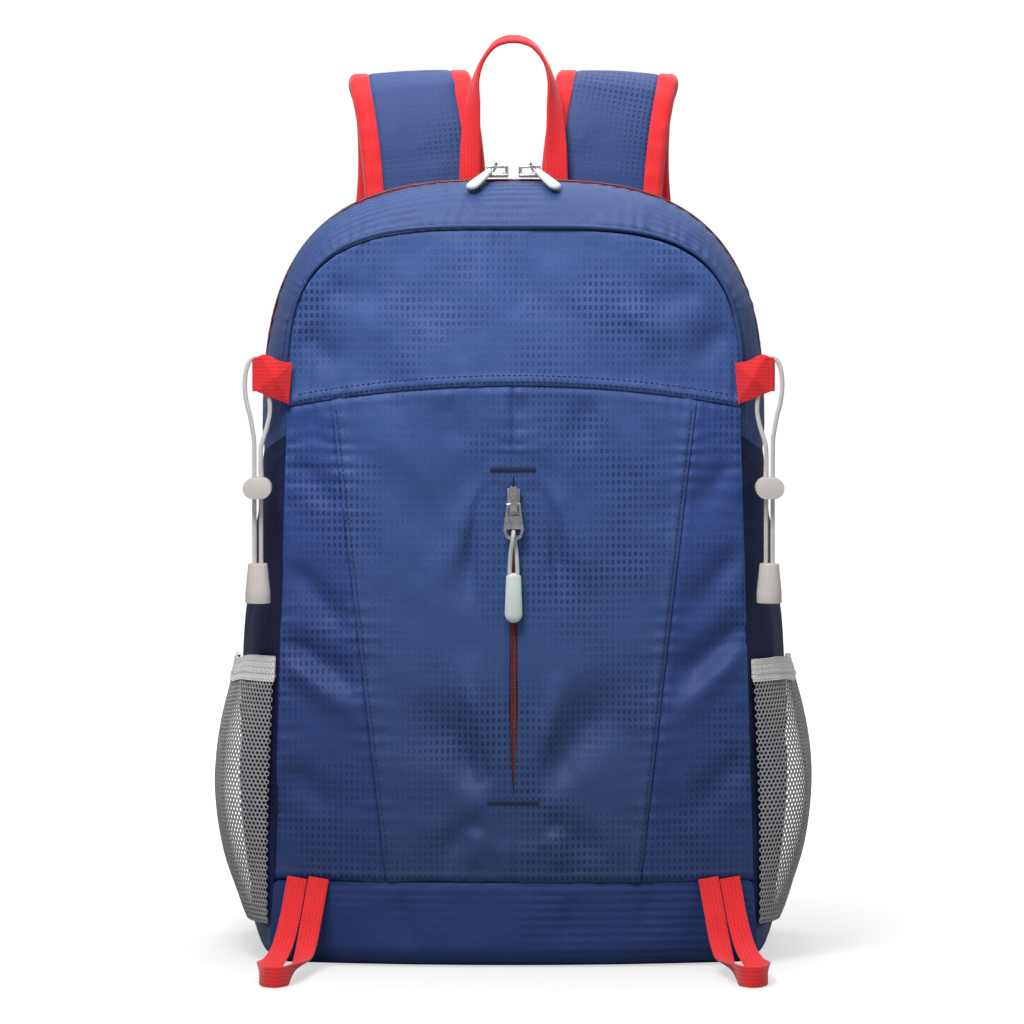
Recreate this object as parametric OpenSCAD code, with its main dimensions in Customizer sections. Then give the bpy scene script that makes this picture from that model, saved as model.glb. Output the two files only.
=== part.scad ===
// Daypack, 20 litre class: clamshell body with a slit front pocket, two mesh side
// pockets, bungee cords with cord locks, padded shoulder straps and gear loops.
// Millimetres. +X is to the right of a person who looks at the front, +Y is to the
// back panel, +Z is up. The origin is the centre of the flat base.

/* [Bag] */
// Height of the zip line at the top of the bag
bag_h = 458; // [454:1:462]
// Width of the front panel at its bottom seam
front_w = 282; // [276:1:286]
// Width of the back panel near the base
back_w = 320; // [312:1:326]
// Depth from the front seam to the back seam
bag_d = 148; // [144:1:152]
// How far the stuffed front stands out of its seam
crown = 14; // [12:1:14]
// Thickness of the lined fabric walls
wall = 2; // [1.6:0.1:2.2]

/* [Mesh pockets] */
// Height of the pocket's mouth above the base
mouth_z = 186; // [182:1:190]
// Height of the elastic band along the mouth
band_h = 14; // [12:1:16]
// How far the mesh stands off the side panel at its fullest
pocket_bulge = 23; // [20:1:25]

/* [Shoulder straps] */
// Width of a shoulder strap
strap_w = 75; // [70:1:76]
// Thickness of a shoulder strap
strap_t = 12; // [10:1:13]
// Width of the red binding along a strap's edge
binding_w = 12; // [10:1:13]

/* [Webbing] */
// Width of the gear loop webbing
gear_web_w = 12; // [10:1:12]
// Width of the haul loop webbing
haul_web_w = 12; // [10:1:13]
// Width of the webbing under the shoulder straps
adjust_web_w = 24; // [20:1:25]

/* [Cord locks] */
// Diameter of the side bungee cord
cord_dia = 2.6; // [2.4:0.1:2.7]
// Width of a cord lock across its oval
lock_w = 16.4; // [16:0.1:17]
// Height of a cord lock across its oval
lock_h = 12.2; // [12:0.1:12.6]
// Travel of the cord lock's button
button_travel = 3.5; // [3:0.1:3.5]

/* [Hidden] */

$fn = 48;
navy = "#3e5690";
deep_navy = "#25355f";
red = "#e8323a";
dark_red = "#6b0f22";
pale = "#dcdad6";
mint = "#e0eae8";
metal = "#b9bcc0";
black = "#1c1e22";

// The three lines that run round the bag: the front seam, the zip and the back seam.
seam_y = -76;
zip_y = -42;
back_y = seam_y + bag_d;
line_y = [seam_y, zip_y, back_y];
low_w = [front_w / 2, 149.5, back_w / 2];
shoulder_w = [133, 146.5, 151];
shoulder_z = [310, 300, 300];
top_z = [bag_h - 28, bag_h, bag_h - 17];
roundness = [3.8, 3.1, 3.1];
low_z = 50;
floor_z = 22;
base_r = 14;
// Width of a seam between the front panels and what they are sewn to.
seam = 2.6;

// The slit of the front pocket, between its two bar tacks.
slit_low = 99;
slit_high = 289;
slit_gap = 1.6;
front_y = seam_y - crown;

// Centre of the cord lock and spacing of the two cord strands.
lock_x = 148.5;
lock_y = -84;
lock_z = 280;
strand = 1.9;
fit = 0.2;

// Centre of a main zip slider, its puller's pivot on the bridge, the pocket puller's.
slider_x = 9.5;
bridge_x = 11;
bridge_y = zip_y;
bridge_z = bag_h + 8;
pull_z = 271;
pull_y = front_y - 4;

function lerp(a, b, t) = a + (b - a) * t;
function unit(v) = v / norm(v);
function bezier(a, c, b, t) = a * pow(1 - t, 2) + c * 2 * t * (1 - t) + b * t * t;
function steps(n) = [for (i = [0:n]) i / n];

// Half width and height of line k: its side for r up to 0.5, its arch above that.
function line_side(k, z, inset) =
    lerp(low_w[k], shoulder_w[k], (z - low_z) / (shoulder_z[k] - low_z)) - inset;
function line_xz(k, r, inset) =
    r <= 0.5
    ? let (z = lerp(floor_z, shoulder_z[k], 2 * r)) [line_side(k, z, inset), z]
    : let (a = (2 * r - 1) * 90, p = 2 / roundness[k])
        [(shoulder_w[k] - inset) * pow(cos(a), p),
         shoulder_z[k] + (top_z[k] - shoulder_z[k] - inset) * pow(sin(a), p)];
function line_at(k, r, inset) =
    let (p = line_xz(k, r, inset)) [p[0], line_y[k] + (k == 0 ? inset : 0), p[1]];

// The wrap round the bag: q runs 0, 1, 2 from front seam to zip to back seam.
function wrap(q, r, inset) =
    let (f = line_at(0, r, inset), z = line_at(1, r, inset), b = line_at(2, r, inset),
         c = [z[0], lerp(f[1], z[1], 0.5), z[2]])
    q <= 1 ? bezier(f, c, z, q) : lerp(z, b, q - 1);
// The arch from the right shoulder over the top to the left, t from 0 to 1.
function arch(q, t, inset) =
    let (p = wrap(q, t < 0.5 ? 0.5 + t : 1.5 - t, inset), s = t <= 0.5 ? 1 : -1)
    [s * p[0], p[1], p[2]];

// The front: its seams and how far it stands out.
function arch_z(x, inset) =
    shoulder_z[0] + (top_z[0] - inset - shoulder_z[0])
    * pow(max(0, 1 - pow(abs(x) / (shoulder_w[0] - inset), roundness[0])),
          1 / roundness[0]);
function cross_seam_z(x) = 339.5 - 13 * pow(x / shoulder_w[0], 2);
function side_seam_x(v) = lerp(74, 106, v);
function front_half(z) =
    z <= shoulder_z[0] ? line_side(0, z, 0)
    : shoulder_w[0] * pow(max(0.0001, 1 - pow((z - shoulder_z[0])
        / (top_z[0] - shoulder_z[0]), roundness[0])), 1 / roundness[0]);
function front_at(x, z, inset) =
    let (rise = z <= 300 ? 1 : 1 - pow((z - 300) / (top_z[0] - 300), 2))
    [x, seam_y - crown * rise * (1 - pow(min(1, abs(x) / front_half(z)), 2)) + inset, z];

// A closed sheet between an outer and an inner grid. Seen from outside, rows go up
// and columns go right.
module slab(outer, inner) {
    m = len(outer) - 1;
    n = len(outer[0]) - 1;
    c = n + 1;
    k = (m + 1) * c;
    pts = concat([for (row = outer) each row], [for (row = inner) each row]);
    quads = concat(
        [for (i = [0:m - 1], j = [0:n - 1])
            [i * c + j, i * c + c + j, i * c + c + j + 1, i * c + j + 1]],
        [for (i = [0:m - 1], j = [0:n - 1])
            [k + i * c + j + 1, k + i * c + c + j + 1, k + i * c + c + j, k + i * c + j]],
        [for (j = [0:n - 1]) [j, j + 1, k + j + 1, k + j]],
        [for (j = [0:n - 1])
            [m * c + j + 1, m * c + j, k + m * c + j, k + m * c + j + 1]],
        [for (i = [0:m - 1]) [i * c + c, i * c, k + i * c, k + i * c + c]],
        [for (i = [0:m - 1])
            [i * c + n, i * c + c + n, k + i * c + c + n, k + i * c + n]]);
    polyhedron(pts, [for (f = quads) each [[f[0], f[1], f[2]], [f[0], f[2], f[3]]]]);
}

// A closed solid through rings of points, each counter-clockwise seen from its end.
module loft(rings) {
    n = len(rings[0]);
    last = (len(rings) - 1) * n;
    pts = [for (ring = rings) each ring];
    quads = [for (i = [0:len(rings) - 2], j = [0:n - 1])
        [i * n + j, i * n + n + j, i * n + n + (j + 1) % n, i * n + (j + 1) % n]];
    polyhedron(pts, concat(
        [[for (j = [0:n - 1]) j]],
        [for (f = quads) each [[f[0], f[1], f[2]], [f[0], f[2], f[3]]]],
        [[for (j = [n - 1:-1:0]) last + j]]));
}

// Directions along a path of points.
function along(path, i) =
    unit(path[min(i + 1, len(path) - 1)] - path[max(i - 1, 0)]);
// A smooth path of n steps through hand-placed points, by Catmull-Rom curves.
function smooth_at(p, s) =
    let (m = len(p) - 1, i = min(floor(s), m - 1), t = s - i,
         a = p[max(i - 1, 0)], b = p[i], c = p[i + 1], d = p[min(i + 2, m)])
    b + (c - a) * (t / 2) + (2 * a - 5 * b + 4 * c - d) * (t * t / 2)
    + (3 * b - a - 3 * c + d) * (t * t * t / 2);
function smooth(p, n) = [for (s = steps(n)) smooth_at(p, s * (len(p) - 1))];

// Flat webbing along a path, with its width direction given at each point, and moved
// aside by shift.
module ribbon(path, sides, w, h, shift = 0) {
    loft([for (i = [0:len(path) - 1])
        let (t = along(path, i), s0 = sides[i], s = unit(s0 - t * (s0 * t)),
             n = cross(t, s))
        [for (c = [[1, -1], [1, 1], [-1, 1], [-1, -1]])
            path[i] + s * (c[0] * w / 2 + shift) + n * (c[1] * h / 2)]]);
}
// Round cord along a path.
module tube(path, dia, sides = 8) {
    loft([for (i = [0:len(path) - 1])
        let (t = along(path, i), n = unit(cross(t, [0.3, 1, 0.1])), b = cross(t, n))
        [for (k = [0:sides - 1])
            let (a = 360 * k / sides) path[i] + (n * cos(a) + b * sin(a)) * (dia / 2)]]);
}
module on_side(side) {
    if (side < 0) mirror([1, 0, 0]) children();
    else children();
}

// Front panels.
module front_sheet(points) {
    slab([for (row = points) [for (p = row) front_at(p[0], p[1], 0)]],
         [for (row = points) [for (p = row) front_at(p[0], p[1], wall)]]);
}
function between_seams(x, v) = [x, lerp(low_z, cross_seam_z(x), v)];
function slit_half(z) =
    z <= slit_low || z >= slit_high ? 0
    : slit_gap * min(1, (z - slit_low) / 9, (slit_high - z) / 9);

module front_top_panel() {
    reach = shoulder_w[0] - seam - 0.6;
    color(navy) front_sheet([for (v = steps(5)) [for (b = [-90:12:90])
        let (x = reach * sin(b)) [x, lerp(cross_seam_z(x) + 0.15, arch_z(x, seam), v)]]]);
}
module front_centre(side) {
    levels = [50, 74, 99, 108, 150, 195, 240, 280, 289, 314, 339.5];
    color(navy) on_side(side) front_sheet([for (z = levels) let (v = (z - 50) / 289.5)
        [for (u = steps(5)) between_seams(
            lerp(slit_half(z), side_seam_x(v) - 0.15, u), v)]]);
}
module front_side(side) {
    color(navy) on_side(side) front_sheet([for (v = steps(8)) [for (u = steps(3))
        let (z = lerp(low_z, 326, v))
        between_seams(lerp(side_seam_x(v), front_half(z) - seam, u), v)]]);
}
module arch_piping() {
    tilt = [0, -0.8, 0];
    color(navy) tube([for (b = [-90:6:90]) let (x = 132.6 * sin(b))
        [x, seam_y, arch_z(x, 0) + 1.6] + tilt], 2);
}

// Gussets, side panels, base and back.
module wrap_sheet(q0, q1, nq, outer = 0, inner = wall) {
    columns = [for (q = steps(nq)) lerp(q0, q1, q)];
    rows = [for (t = steps(26)) t];
    slab([for (t = rows) [for (q = columns) arch(q, t, outer)]],
         [for (t = rows) [for (q = columns) arch(q, t, inner)]]);
}
module zip_gusset_front() { color(navy) wrap_sheet(0.02, 0.9, 4); }
module zip_gusset_rear() { color(deep_navy) wrap_sheet(1.06, 2, 2); }
module main_zip_tape() { color(red) wrap_sheet(0.92, 1.05, 2); }
module main_zip_coil() { color(dark_red) wrap_sheet(0.97, 1.02, 2, -1.2, -0.1); }

module side_panel(side) {
    columns = [0, 0.25, 0.5, 0.75, 1, 1.5, 2];
    color(deep_navy) on_side(side)
        slab([for (r = steps(6)) [for (q = columns) wrap(q, r * 0.499, 0)]],
             [for (r = steps(6)) [for (q = columns) wrap(q, r * 0.499, wall)]]);
}

// The base is a tray: its rim follows the bag's outline and is high at the front.
function outline(z, front_z, inset) =
    let (f = line_side(0, z, inset), m = line_side(1, z, inset),
         b = line_side(2, z, inset), fy = seam_y + inset,
         side = [[f - seam + 0.6, fy + 0.3 - crown * (1 - pow(1 - seam / f, 2)), z],
                 [f, fy + 0.5, z], [lerp(f, m, 0.6), fy + 14, z], [m, zip_y, z],
                 [b, back_y - inset, z]])
    concat(
        [for (u = steps(12)) let (x = lerp(-f, f, u) * (f - seam) / f)
            [x, fy - crown * (1 - pow(x / f, 2)), front_z]],
        side, [for (i = [len(side) - 1:-1:0]) [-side[i][0], side[i][1], side[i][2]]]);
module base_panel() {
    turns = [0, 22.5, 45, 67.5, 90];
    outer = [for (i = [4:-1:0]) let (a = turns[i], z = base_r * (1 - sin(a)))
        outline(z, z, base_r * (1 - cos(a)))];
    inner = [for (a = turns) let (r = base_r - wall, z = wall + r * (1 - sin(a)))
        outline(z, z, wall + r * (1 - cos(a)))];
    color(deep_navy) loft(concat(outer,
        [outline(floor_z - 0.2, low_z - 0.2, 0), outline(floor_z - 0.2, low_z - 0.2, wall)],
        inner));
}

module back_sheet(y0, y1, inset, low, high) {
    rows = [for (r = steps(14)) lerp(low, high, r)];
    columns = [1, 0.6, 0.2, -0.2, -0.6, -1];
    slab([for (r = rows) let (p = line_xz(2, r, inset))
            [for (u = columns) [u * p[0], y1, p[1]]]],
         [for (r = rows) let (p = line_xz(2, r, inset))
            [for (u = columns) [u * p[0], y0, p[1]]]]);
}
module back_panel() { color(black) back_sheet(back_y + 0.1, back_y + 8, 4, 0.01, 0.98); }
module back_pad() { color("#8a8d92") back_sheet(back_y - 8, back_y - 0.1, 6, 0.03, 0.95); }

// Front pocket: zip behind the slit, lining inside, bar tacks at the slit's ends.
module pocket_zip_tape() {
    color(dark_red) translate([-12, front_y + wall + 1.6, slit_low - 4])
        cube([24, 1, slit_high - slit_low + 8]);
}
module pocket_zip_coil() {
    color(dark_red) translate([-2.2, front_y + wall + 0.2, slit_low - 2])
        cube([4.4, 1.3, slit_high - slit_low + 4]);
}
module pocket_lining() {
    color(dark_red) translate([-85, front_y + 15, 70]) cube([170, 2, 240]);
}
module bar_tack(w, z) { translate([-w / 2, front_y - 1, z - 1.7]) cube([w, 0.9, 3.4]); }
module bar_tacks() {
    color(deep_navy) {
        bar_tack(26, slit_high + 1.8);
        bar_tack(30, slit_low - 1.8);
    }
}

// Mesh side pockets.
function bulge(z) = pocket_bulge * sin(180 * pow(max(0, z - 14) / 216, 0.8));
function pocket_at(q, z, proud) =
    let (p = wrap(q, (z - floor_z) / (shoulder_z[0] - floor_z) / 2, 0))
    [p[0] + 0.3 + bulge(z) * pow(sin(90 * q), 0.7) + proud, p[1], z];
module pocket_sheet(side, z0, z1, rows, thick) {
    columns = [0.02, 0.15, 0.35, 0.6, 0.85, 1.1, 1.35, 1.6, 1.8, 1.92, 1.98];
    zs = [for (v = steps(rows)) lerp(z0, z1, v)];
    on_side(side) slab([for (z = zs) [for (q = columns) pocket_at(q, z, thick)]],
                       [for (z = zs) [for (q = columns) pocket_at(q, z, 0)]]);
}
module mesh_pocket(side) {
    color([0.6, 0.6, 0.62, 0.6]) pocket_sheet(side, 24, mouth_z - band_h - 0.1, 8, 1.4);
}
module pocket_elastic(side) {
    color(pale) pocket_sheet(side, mouth_z - band_h, mouth_z, 1, 2);
}

// Side tabs: a fold of webbing whose flat tunnel holds the bungee cord.
module side_tab(side) {
    color(red) on_side(side) translate([0, seam_y - 7, 328]) {
        translate([128, 0, 0]) cube([10, 3.4, 30]);
        difference() {
            tunnel(4, 2, 22);
            tunnel(2, 1, 24);
        }
        translate([128, 3.4, 4]) cube([5, 1.4, 22]);
    }
}
module tunnel(r, z, h) {
    hull() for (x = [141, 147]) translate([x, 1.7, z]) cylinder(r = r, h = h);
}

// Bungee cords: the outer strand leaves the top of the tunnel and comes down outside
// it, the inner strand leaves the bottom of the tunnel.
outer_route = [
    [147, -81.3, 346], [147.3, -81.5, 352.5], [149.2, -81.9, 355.6],
    [152.6, -82.3, 354], [155, -82.7, 348], [155.8, -83, 339], [154.8, -83.4, 330],
    [152.8, -83.8, 322], [151.2, -84, 313], [150.4, -84, 305], [150.4, -84, 270],
    [150.4, -84, 232]
];
inner_route = [
    [143, -81.3, 344], [142, -81.3, 334], [141.4, -81.5, 328], [141.6, -82, 322],
    [143.4, -83, 314], [145.6, -83.7, 307], [146.6, -84, 300], [146.6, -84, 270],
    [146.6, -84, 232]
];
module bungee(side, route, n) {
    color(pale) on_side(side) tube(smooth(route, n), cord_dia);
}

// Cord lock: an oval barrel across the two strands, closed at the back, with a
// sprung button in front. Cord end: a small bell that clamps the knot.
module oval(w, h, l) {
    for (s = [-1, 1]) translate([s * (w - h) / 2, 0, 0])
        rotate([90, 0, 0]) cylinder(d = h, h = l, center = true);
    cube([w - h, l, h], center = true);
}
module at_lock(side) { translate([side * lock_x, lock_y, lock_z]) children(); }
module strands(side, dia, h) {
    for (s = [-1, 1]) translate([s * strand, 0, 0])
        cylinder(d = dia, h = h, center = true);
}
button_front = -10.5;
barrel_front = -3.2;
barrel_back = 7.5;
module cord_lock(side) {
    l = barrel_back - barrel_front;
    color(pale) at_lock(side) difference() {
        translate([0, barrel_front + l / 2, 0]) oval(lock_w, lock_h, l);
        translate([0, barrel_front + l / 2 - 1.4, 0]) oval(12.4, 8.2, l);
        strands(side, cord_dia + 2 * fit, 2 * lock_h);
    }
}
module lock_button(side) {
    plunger_back = 2.4;
    head_l = barrel_front - 0.3 - button_travel - button_front;
    stem_l = plunger_back - button_front;
    slot_l = cord_dia + button_travel + 2 * fit;
    color(pale) at_lock(side) difference() {
        union() {
            translate([0, button_front + head_l / 2, 0]) oval(lock_w, lock_h, head_l);
            translate([0, button_front + stem_l / 2, 0]) oval(12, 7.8, stem_l);
        }
        for (s = [-1, 1]) translate([s * strand, (cord_dia - slot_l) / 2 + fit, 0])
            cube([cord_dia + 2 * fit, slot_l, 2 * lock_h], center = true);
    }
}
module lock_spring(side) {
    color(metal) at_lock(side) for (y = [2.95, 4.2, 5.5]) translate([0, y, 0])
        rotate([90, 0, 0]) rotate_extrude($fn = 24) translate([2.6, 0])
            circle(d = 0.8, $fn = 13);
}
module cord_end(side) {
    color(pale) translate([side * lock_x, lock_y, 0]) difference() {
        union() {
            translate([0, 0, 219]) cylinder(r1 = 7.3, r2 = 5.6, h = 17);
            translate([0, 0, 213]) cylinder(r = 7.3, h = 6);
        }
        translate([0, 0, 212]) cylinder(r = 5.4, h = 8);
        strands(side, cord_dia + 2 * fit, 520);
    }
}

// Gear loops: both ends in the bottom seam, the loop lies on the ground in front.
gear_route = [
    [126, -81, 52], [127.5, -84, 44], [130, -91, 30], [134, -102, 15],
    [138.5, -118, 8], [142.5, -135, 6.6], [144.5, -151, 6.6], [142, -163, 6.6],
    [135.5, -167.5, 6.6], [129, -161, 6.6], [126.5, -147, 6.6], [124.5, -130, 6.6],
    [122, -112, 8.5], [119.5, -100, 18], [117, -92, 32], [115, -86, 44],
    [113.5, -83, 52]
];
gear_width = [
    [1, 0, 0], [1, 0, 0], [1, 0, 0], [1, 0, 0.1], [1, 0.1, 0.4], [0.7, 0.3, 0.8],
    [0.1, 0.3, 1], [0, 0.1, 1], [0, 0.1, 1], [0, -0.1, 1], [-0.4, -0.2, 1],
    [-0.9, -0.2, 0.8], [-1, -0.1, 0.3], [-1, 0, 0.1], [-1, 0, 0], [-1, 0, 0], [-1, 0, 0]
];
module gear_loop(side) {
    color(red) on_side(side) ribbon(smooth(gear_route, 32), smooth(gear_width, 32),
                                    gear_web_w, 1.8);
}

// Haul loop: flat where it is sewn in, edge on at its apex.
haul_route = [
    [26.7, 76, 443], [26.7, 76.5, 455], [26.5, 78, 470], [26, 80, 485],
    [25.2, 82, 500], [24.2, 84, 512], [22.5, 85, 522], [18.5, 86, 532],
    [12, 86.5, 540.5], [5, 87, 544], [0, 87, 544.5]
];
haul_twist = [
    [1, 0, 0], [1, 0, 0], [1, 0.1, 0], [1, 0.4, 0], [1, 0.9, 0], [0.5, 1, 0],
    [0.2, 1, 0], [0, 1, 0.1], [0, 1, 0.2], [0, 1, 0.3], [0, 1, 0.3]
];
module haul_loop() {
    half = smooth(haul_route, 20);
    turn = smooth(haul_twist, 20);
    n = len(half) - 1;
    path = concat(half, [for (i = [n - 1:-1:0]) [-half[i][0], half[i][1], half[i][2]]]);
    sides = concat(turn, [for (i = [n - 1:-1:0]) [-turn[i][0], turn[i][1], turn[i][2]]]);
    color(red) ribbon(path, sides, haul_web_w, 2.6);
}

// Shoulder straps: padded, bound in red, from the top of the back panel over a fold
// down to the adjuster.
strap_route = [
    [52.5, 87, 432], [54.5, 91.5, 462], [58, 98, 492], [62, 107, 513], [64, 118, 520],
    [64, 129, 513], [60, 137, 490], [60, 142, 450], [67, 143, 400], [82, 139, 350],
    [97, 131, 300], [107, 123, 255]
];
adjust_route = [[110, 115.5, 219], [118, 112, 170], [130, 103, 100], [141, 88.5, 56]];
function strap_slope(i, n) = [1, 0, i < 0.45 * n ? -0.04 : 0.14];
module strap_bar(side, w, h, shift) {
    n = 22;
    on_side(side)
        ribbon(smooth(strap_route, n), [for (i = [0:n]) strap_slope(i, n)], w, h, shift);
}
module shoulder_strap(side) {
    color(navy) strap_bar(side, strap_w - 2 * binding_w - 1.6, strap_t, 0);
}
module strap_binding(side) {
    color(red) for (s = [-1, 1])
        strap_bar(side, binding_w, strap_t - 1, s * (strap_w - binding_w) / 2);
}
module strap_webbing(side) {
    path = smooth(adjust_route, 10);
    color(black) on_side(side)
        ribbon(path, [for (p = path) [1, 0, 0.2]], adjust_web_w, 1.8);
}
module corner_tab(side) {
    color(deep_navy) on_side(side) translate([0, 0, 30])
        rotate([90, 0, 0]) translate([0, 0, -back_y - 14])
        linear_extrude(4) polygon([[158, 0], [158, 44], [126, 24], [130, 10]]);
}
// Ladder lock: frame with three bars at the strap's end.
module ladder_lock(side) {
    color(black) on_side(side) translate([109.5, 119, 237]) rotate([-10, 0, 0])
        difference() {
            translate([-16, -2.5, -13]) cube([32, 5, 26]);
            for (z = [-9.5, 1.5]) translate([-12.8, -4, z]) cube([25.6, 8, 7.5]);
        }
}

// Main zip sliders and their pullers. The puller's ring hangs on the bridge.
module main_slider(side) {
    color(metal) translate([side * slider_x, bridge_y, 0]) {
        translate([-6.5, -3.5, bag_h + 1.8]) cube([13, 7, 1.4]);
        for (s = [-1, 1]) translate([s * 5.6, 0, bag_h + 3])
            cylinder(r = 0.9, h = bridge_z - bag_h - 3);
        translate([-6.5, 0, bridge_z]) rotate([0, 90, 0]) cylinder(r = 0.9, h = 13);
    }
}
// Turns +X to the direction in which a main puller lies at rest, out and forward.
pull_pitch = 27;
pull_azimuth = 233.13;
ring_r = 3.3;
wire = 1.2;
ring_reach = ring_r - 1.75;
module at_bridge(side) {
    on_side(side) mirror([1, 0, 0]) translate([-bridge_x, bridge_y, bridge_z])
        rotate([0, pull_pitch, pull_azimuth]) children();
}
// The ring stands as square to the bridge as its hanging direction lets it.
module pull_ring() {
    translate([ring_reach, 0, 0]) rotate([58, 0, 0])
        rotate_extrude($fn = 32) translate([ring_r, 0]) circle(d = wire, $fn = 16);
}
module main_pull(side) { color(metal) at_bridge(side) pull_ring(); }
module main_grip(side) {
    color(mint) at_bridge(side) difference() {
        hull() {
            translate([5.8, 0, 0]) sphere(r = 1.9, $fn = 20);
            translate([13, 0, 0]) scale([1, 1.1, 0.7]) sphere(r = 3, $fn = 20);
            translate([23.5, 0, 0]) scale([1, 1, 0.55]) sphere(r = 4.3, $fn = 20);
        }
        translate([ring_reach, 0, 0]) sphere(r = ring_r + wire / 2 + 0.1, $fn = 24);
    }
}

// Pocket slider: a plate in front of the slit, a web through it and a long bridge.
module pocket_slider() {
    color(metal) {
        translate([-3.6, front_y - 1.9, 263]) cube([7.2, 1.3, 17]);
        translate([-0.7, front_y - 0.7, 265]) cube([1.4, 2.6, 12]);
        translate([-1.9, front_y - 6.2, 268]) cube([3.8, 1.2, 13.2]);
        translate([-1.9, front_y - 6.2, 279.4]) cube([3.8, 4.4, 1.8]);
        translate([-1.9, front_y - 6.2, 267]) cube([3.8, 4.4, 1.8]);
    }
}
// Pull tab: a die-cast plate with a window for the bridge and one for the cord.
tab_reach = 20.5;
module pocket_pull_tab() {
    color(metal) translate([0, pull_y, pull_z]) {
        rotate([0, 90, 0]) cylinder(r = 0.7, h = 8, center = true);
        rotate([90, 0, 0]) linear_extrude(1.4, center = true) difference() {
            polygon([[-4, 0], [4, 0], [6, -15], [4.4, -19.4], [1.6, -tab_reach - 0.4],
                     [-1.6, -tab_reach - 0.4], [-4.4, -19.4], [-6, -15]]);
            polygon([[-2.9, 0.1], [2.9, 0.1], [3.4, -6.6], [-3.4, -6.6]]);
            polygon([[-4.4, -14.4], [4.4, -14.4], [3.4, -17.8], [1.4, -18.6],
                     [-1.4, -18.6], [-3.4, -17.8]]);
        }
    }
}
pull_cord_route = [
    [-2.3, -94, 229], [-2.1, -94.2, 236], [-1.6, -95, 243], [-0.8, -96.2, 248.6],
    [-0.2, -96.2, 252.9], [0, -94, 255], [0.2, -91.8, 252.9], [0.8, -91.8, 248.6],
    [1.6, -92.8, 243], [2.1, -93.8, 236], [2.3, -94, 229]
];
module pocket_pull_cord() { color(mint) tube(smooth(pull_cord_route, 24), 2.5); }
module pocket_grip() {
    color(mint) translate([0, pull_y, 0]) difference() {
        hull() {
            translate([0, 0, 228.6]) scale([1, 0.6, 0.6]) sphere(r = 4.4, $fn = 24);
            translate([0, 0, 207.5]) scale([1, 0.55, 1]) sphere(r = 5.2, $fn = 24);
        }
        for (s = [-1, 1]) translate([s * 2.3, 0, 228.9]) cylinder(r = 1.4, h = 5);
    }
}

back_panel();
back_pad();
base_panel();
front_top_panel();
front_centre(-1);  // front_centre_left
front_centre(1);  // front_centre_right
front_side(-1);  // front_side_left
front_side(1);  // front_side_right
zip_gusset_front();
zip_gusset_rear();
side_panel(-1);  // side_panel_left
side_panel(1);  // side_panel_right
arch_piping();
main_zip_tape();
main_zip_coil();
pocket_zip_tape();
pocket_zip_coil();
pocket_lining();
bar_tacks();
mesh_pocket(-1);  // mesh_pocket_left
mesh_pocket(1);  // mesh_pocket_right
pocket_elastic(-1);  // pocket_elastic_left
pocket_elastic(1);  // pocket_elastic_right
side_tab(-1);  // side_tab_left
side_tab(1);  // side_tab_right
bungee(-1, outer_route, 32);  // bungee_outer_left
bungee(1, outer_route, 32);  // bungee_outer_right
bungee(-1, inner_route, 18);  // bungee_inner_left
bungee(1, inner_route, 18);  // bungee_inner_right
cord_end(-1);  // cord_end_left
cord_end(1);  // cord_end_right
gear_loop(-1);  // gear_loop_left
gear_loop(1);  // gear_loop_right
haul_loop();
shoulder_strap(-1);  // shoulder_strap_left
shoulder_strap(1);  // shoulder_strap_right
strap_binding(-1);  // strap_binding_left
strap_binding(1);  // strap_binding_right
strap_webbing(-1);  // strap_webbing_left
strap_webbing(1);  // strap_webbing_right
corner_tab(-1);  // corner_tab_left
corner_tab(1);  // corner_tab_right
ladder_lock(-1);  // ladder_lock_left
ladder_lock(1);  // ladder_lock_right
main_slider(-1);  // main_slider_left
main_slider(1);  // main_slider_right
main_pull(-1);  // main_pull_left
main_pull(1);  // main_pull_right
main_grip(-1);  // main_grip_left
main_grip(1);  // main_grip_right
pocket_slider();
pocket_pull_tab();
pocket_pull_cord();
pocket_grip();
cord_lock(-1);  // cord_lock_left
cord_lock(1);  // cord_lock_right
lock_button(-1);  // lock_button_left
lock_button(1);  // lock_button_right
lock_spring(-1);  // lock_spring_left
lock_spring(1);  // lock_spring_right
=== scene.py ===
import math

import bpy
import numpy as np
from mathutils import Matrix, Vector


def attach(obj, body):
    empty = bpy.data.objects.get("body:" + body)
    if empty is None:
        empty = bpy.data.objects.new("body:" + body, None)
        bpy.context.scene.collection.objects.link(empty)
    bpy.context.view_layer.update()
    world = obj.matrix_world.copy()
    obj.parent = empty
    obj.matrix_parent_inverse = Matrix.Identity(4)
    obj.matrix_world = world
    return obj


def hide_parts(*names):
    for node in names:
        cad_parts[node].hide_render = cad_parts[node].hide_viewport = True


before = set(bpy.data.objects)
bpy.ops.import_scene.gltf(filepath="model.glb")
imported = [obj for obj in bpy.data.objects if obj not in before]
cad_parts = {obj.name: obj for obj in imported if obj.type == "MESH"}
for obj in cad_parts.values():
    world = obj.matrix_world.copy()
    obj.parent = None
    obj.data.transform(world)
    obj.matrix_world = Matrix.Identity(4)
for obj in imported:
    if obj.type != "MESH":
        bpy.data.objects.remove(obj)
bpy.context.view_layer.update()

# Lengths below are in millimetres, and points turn to metres where a mesh is made.
MM = 0.001
SIDES = {"left": -1, "right": 1}

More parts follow.
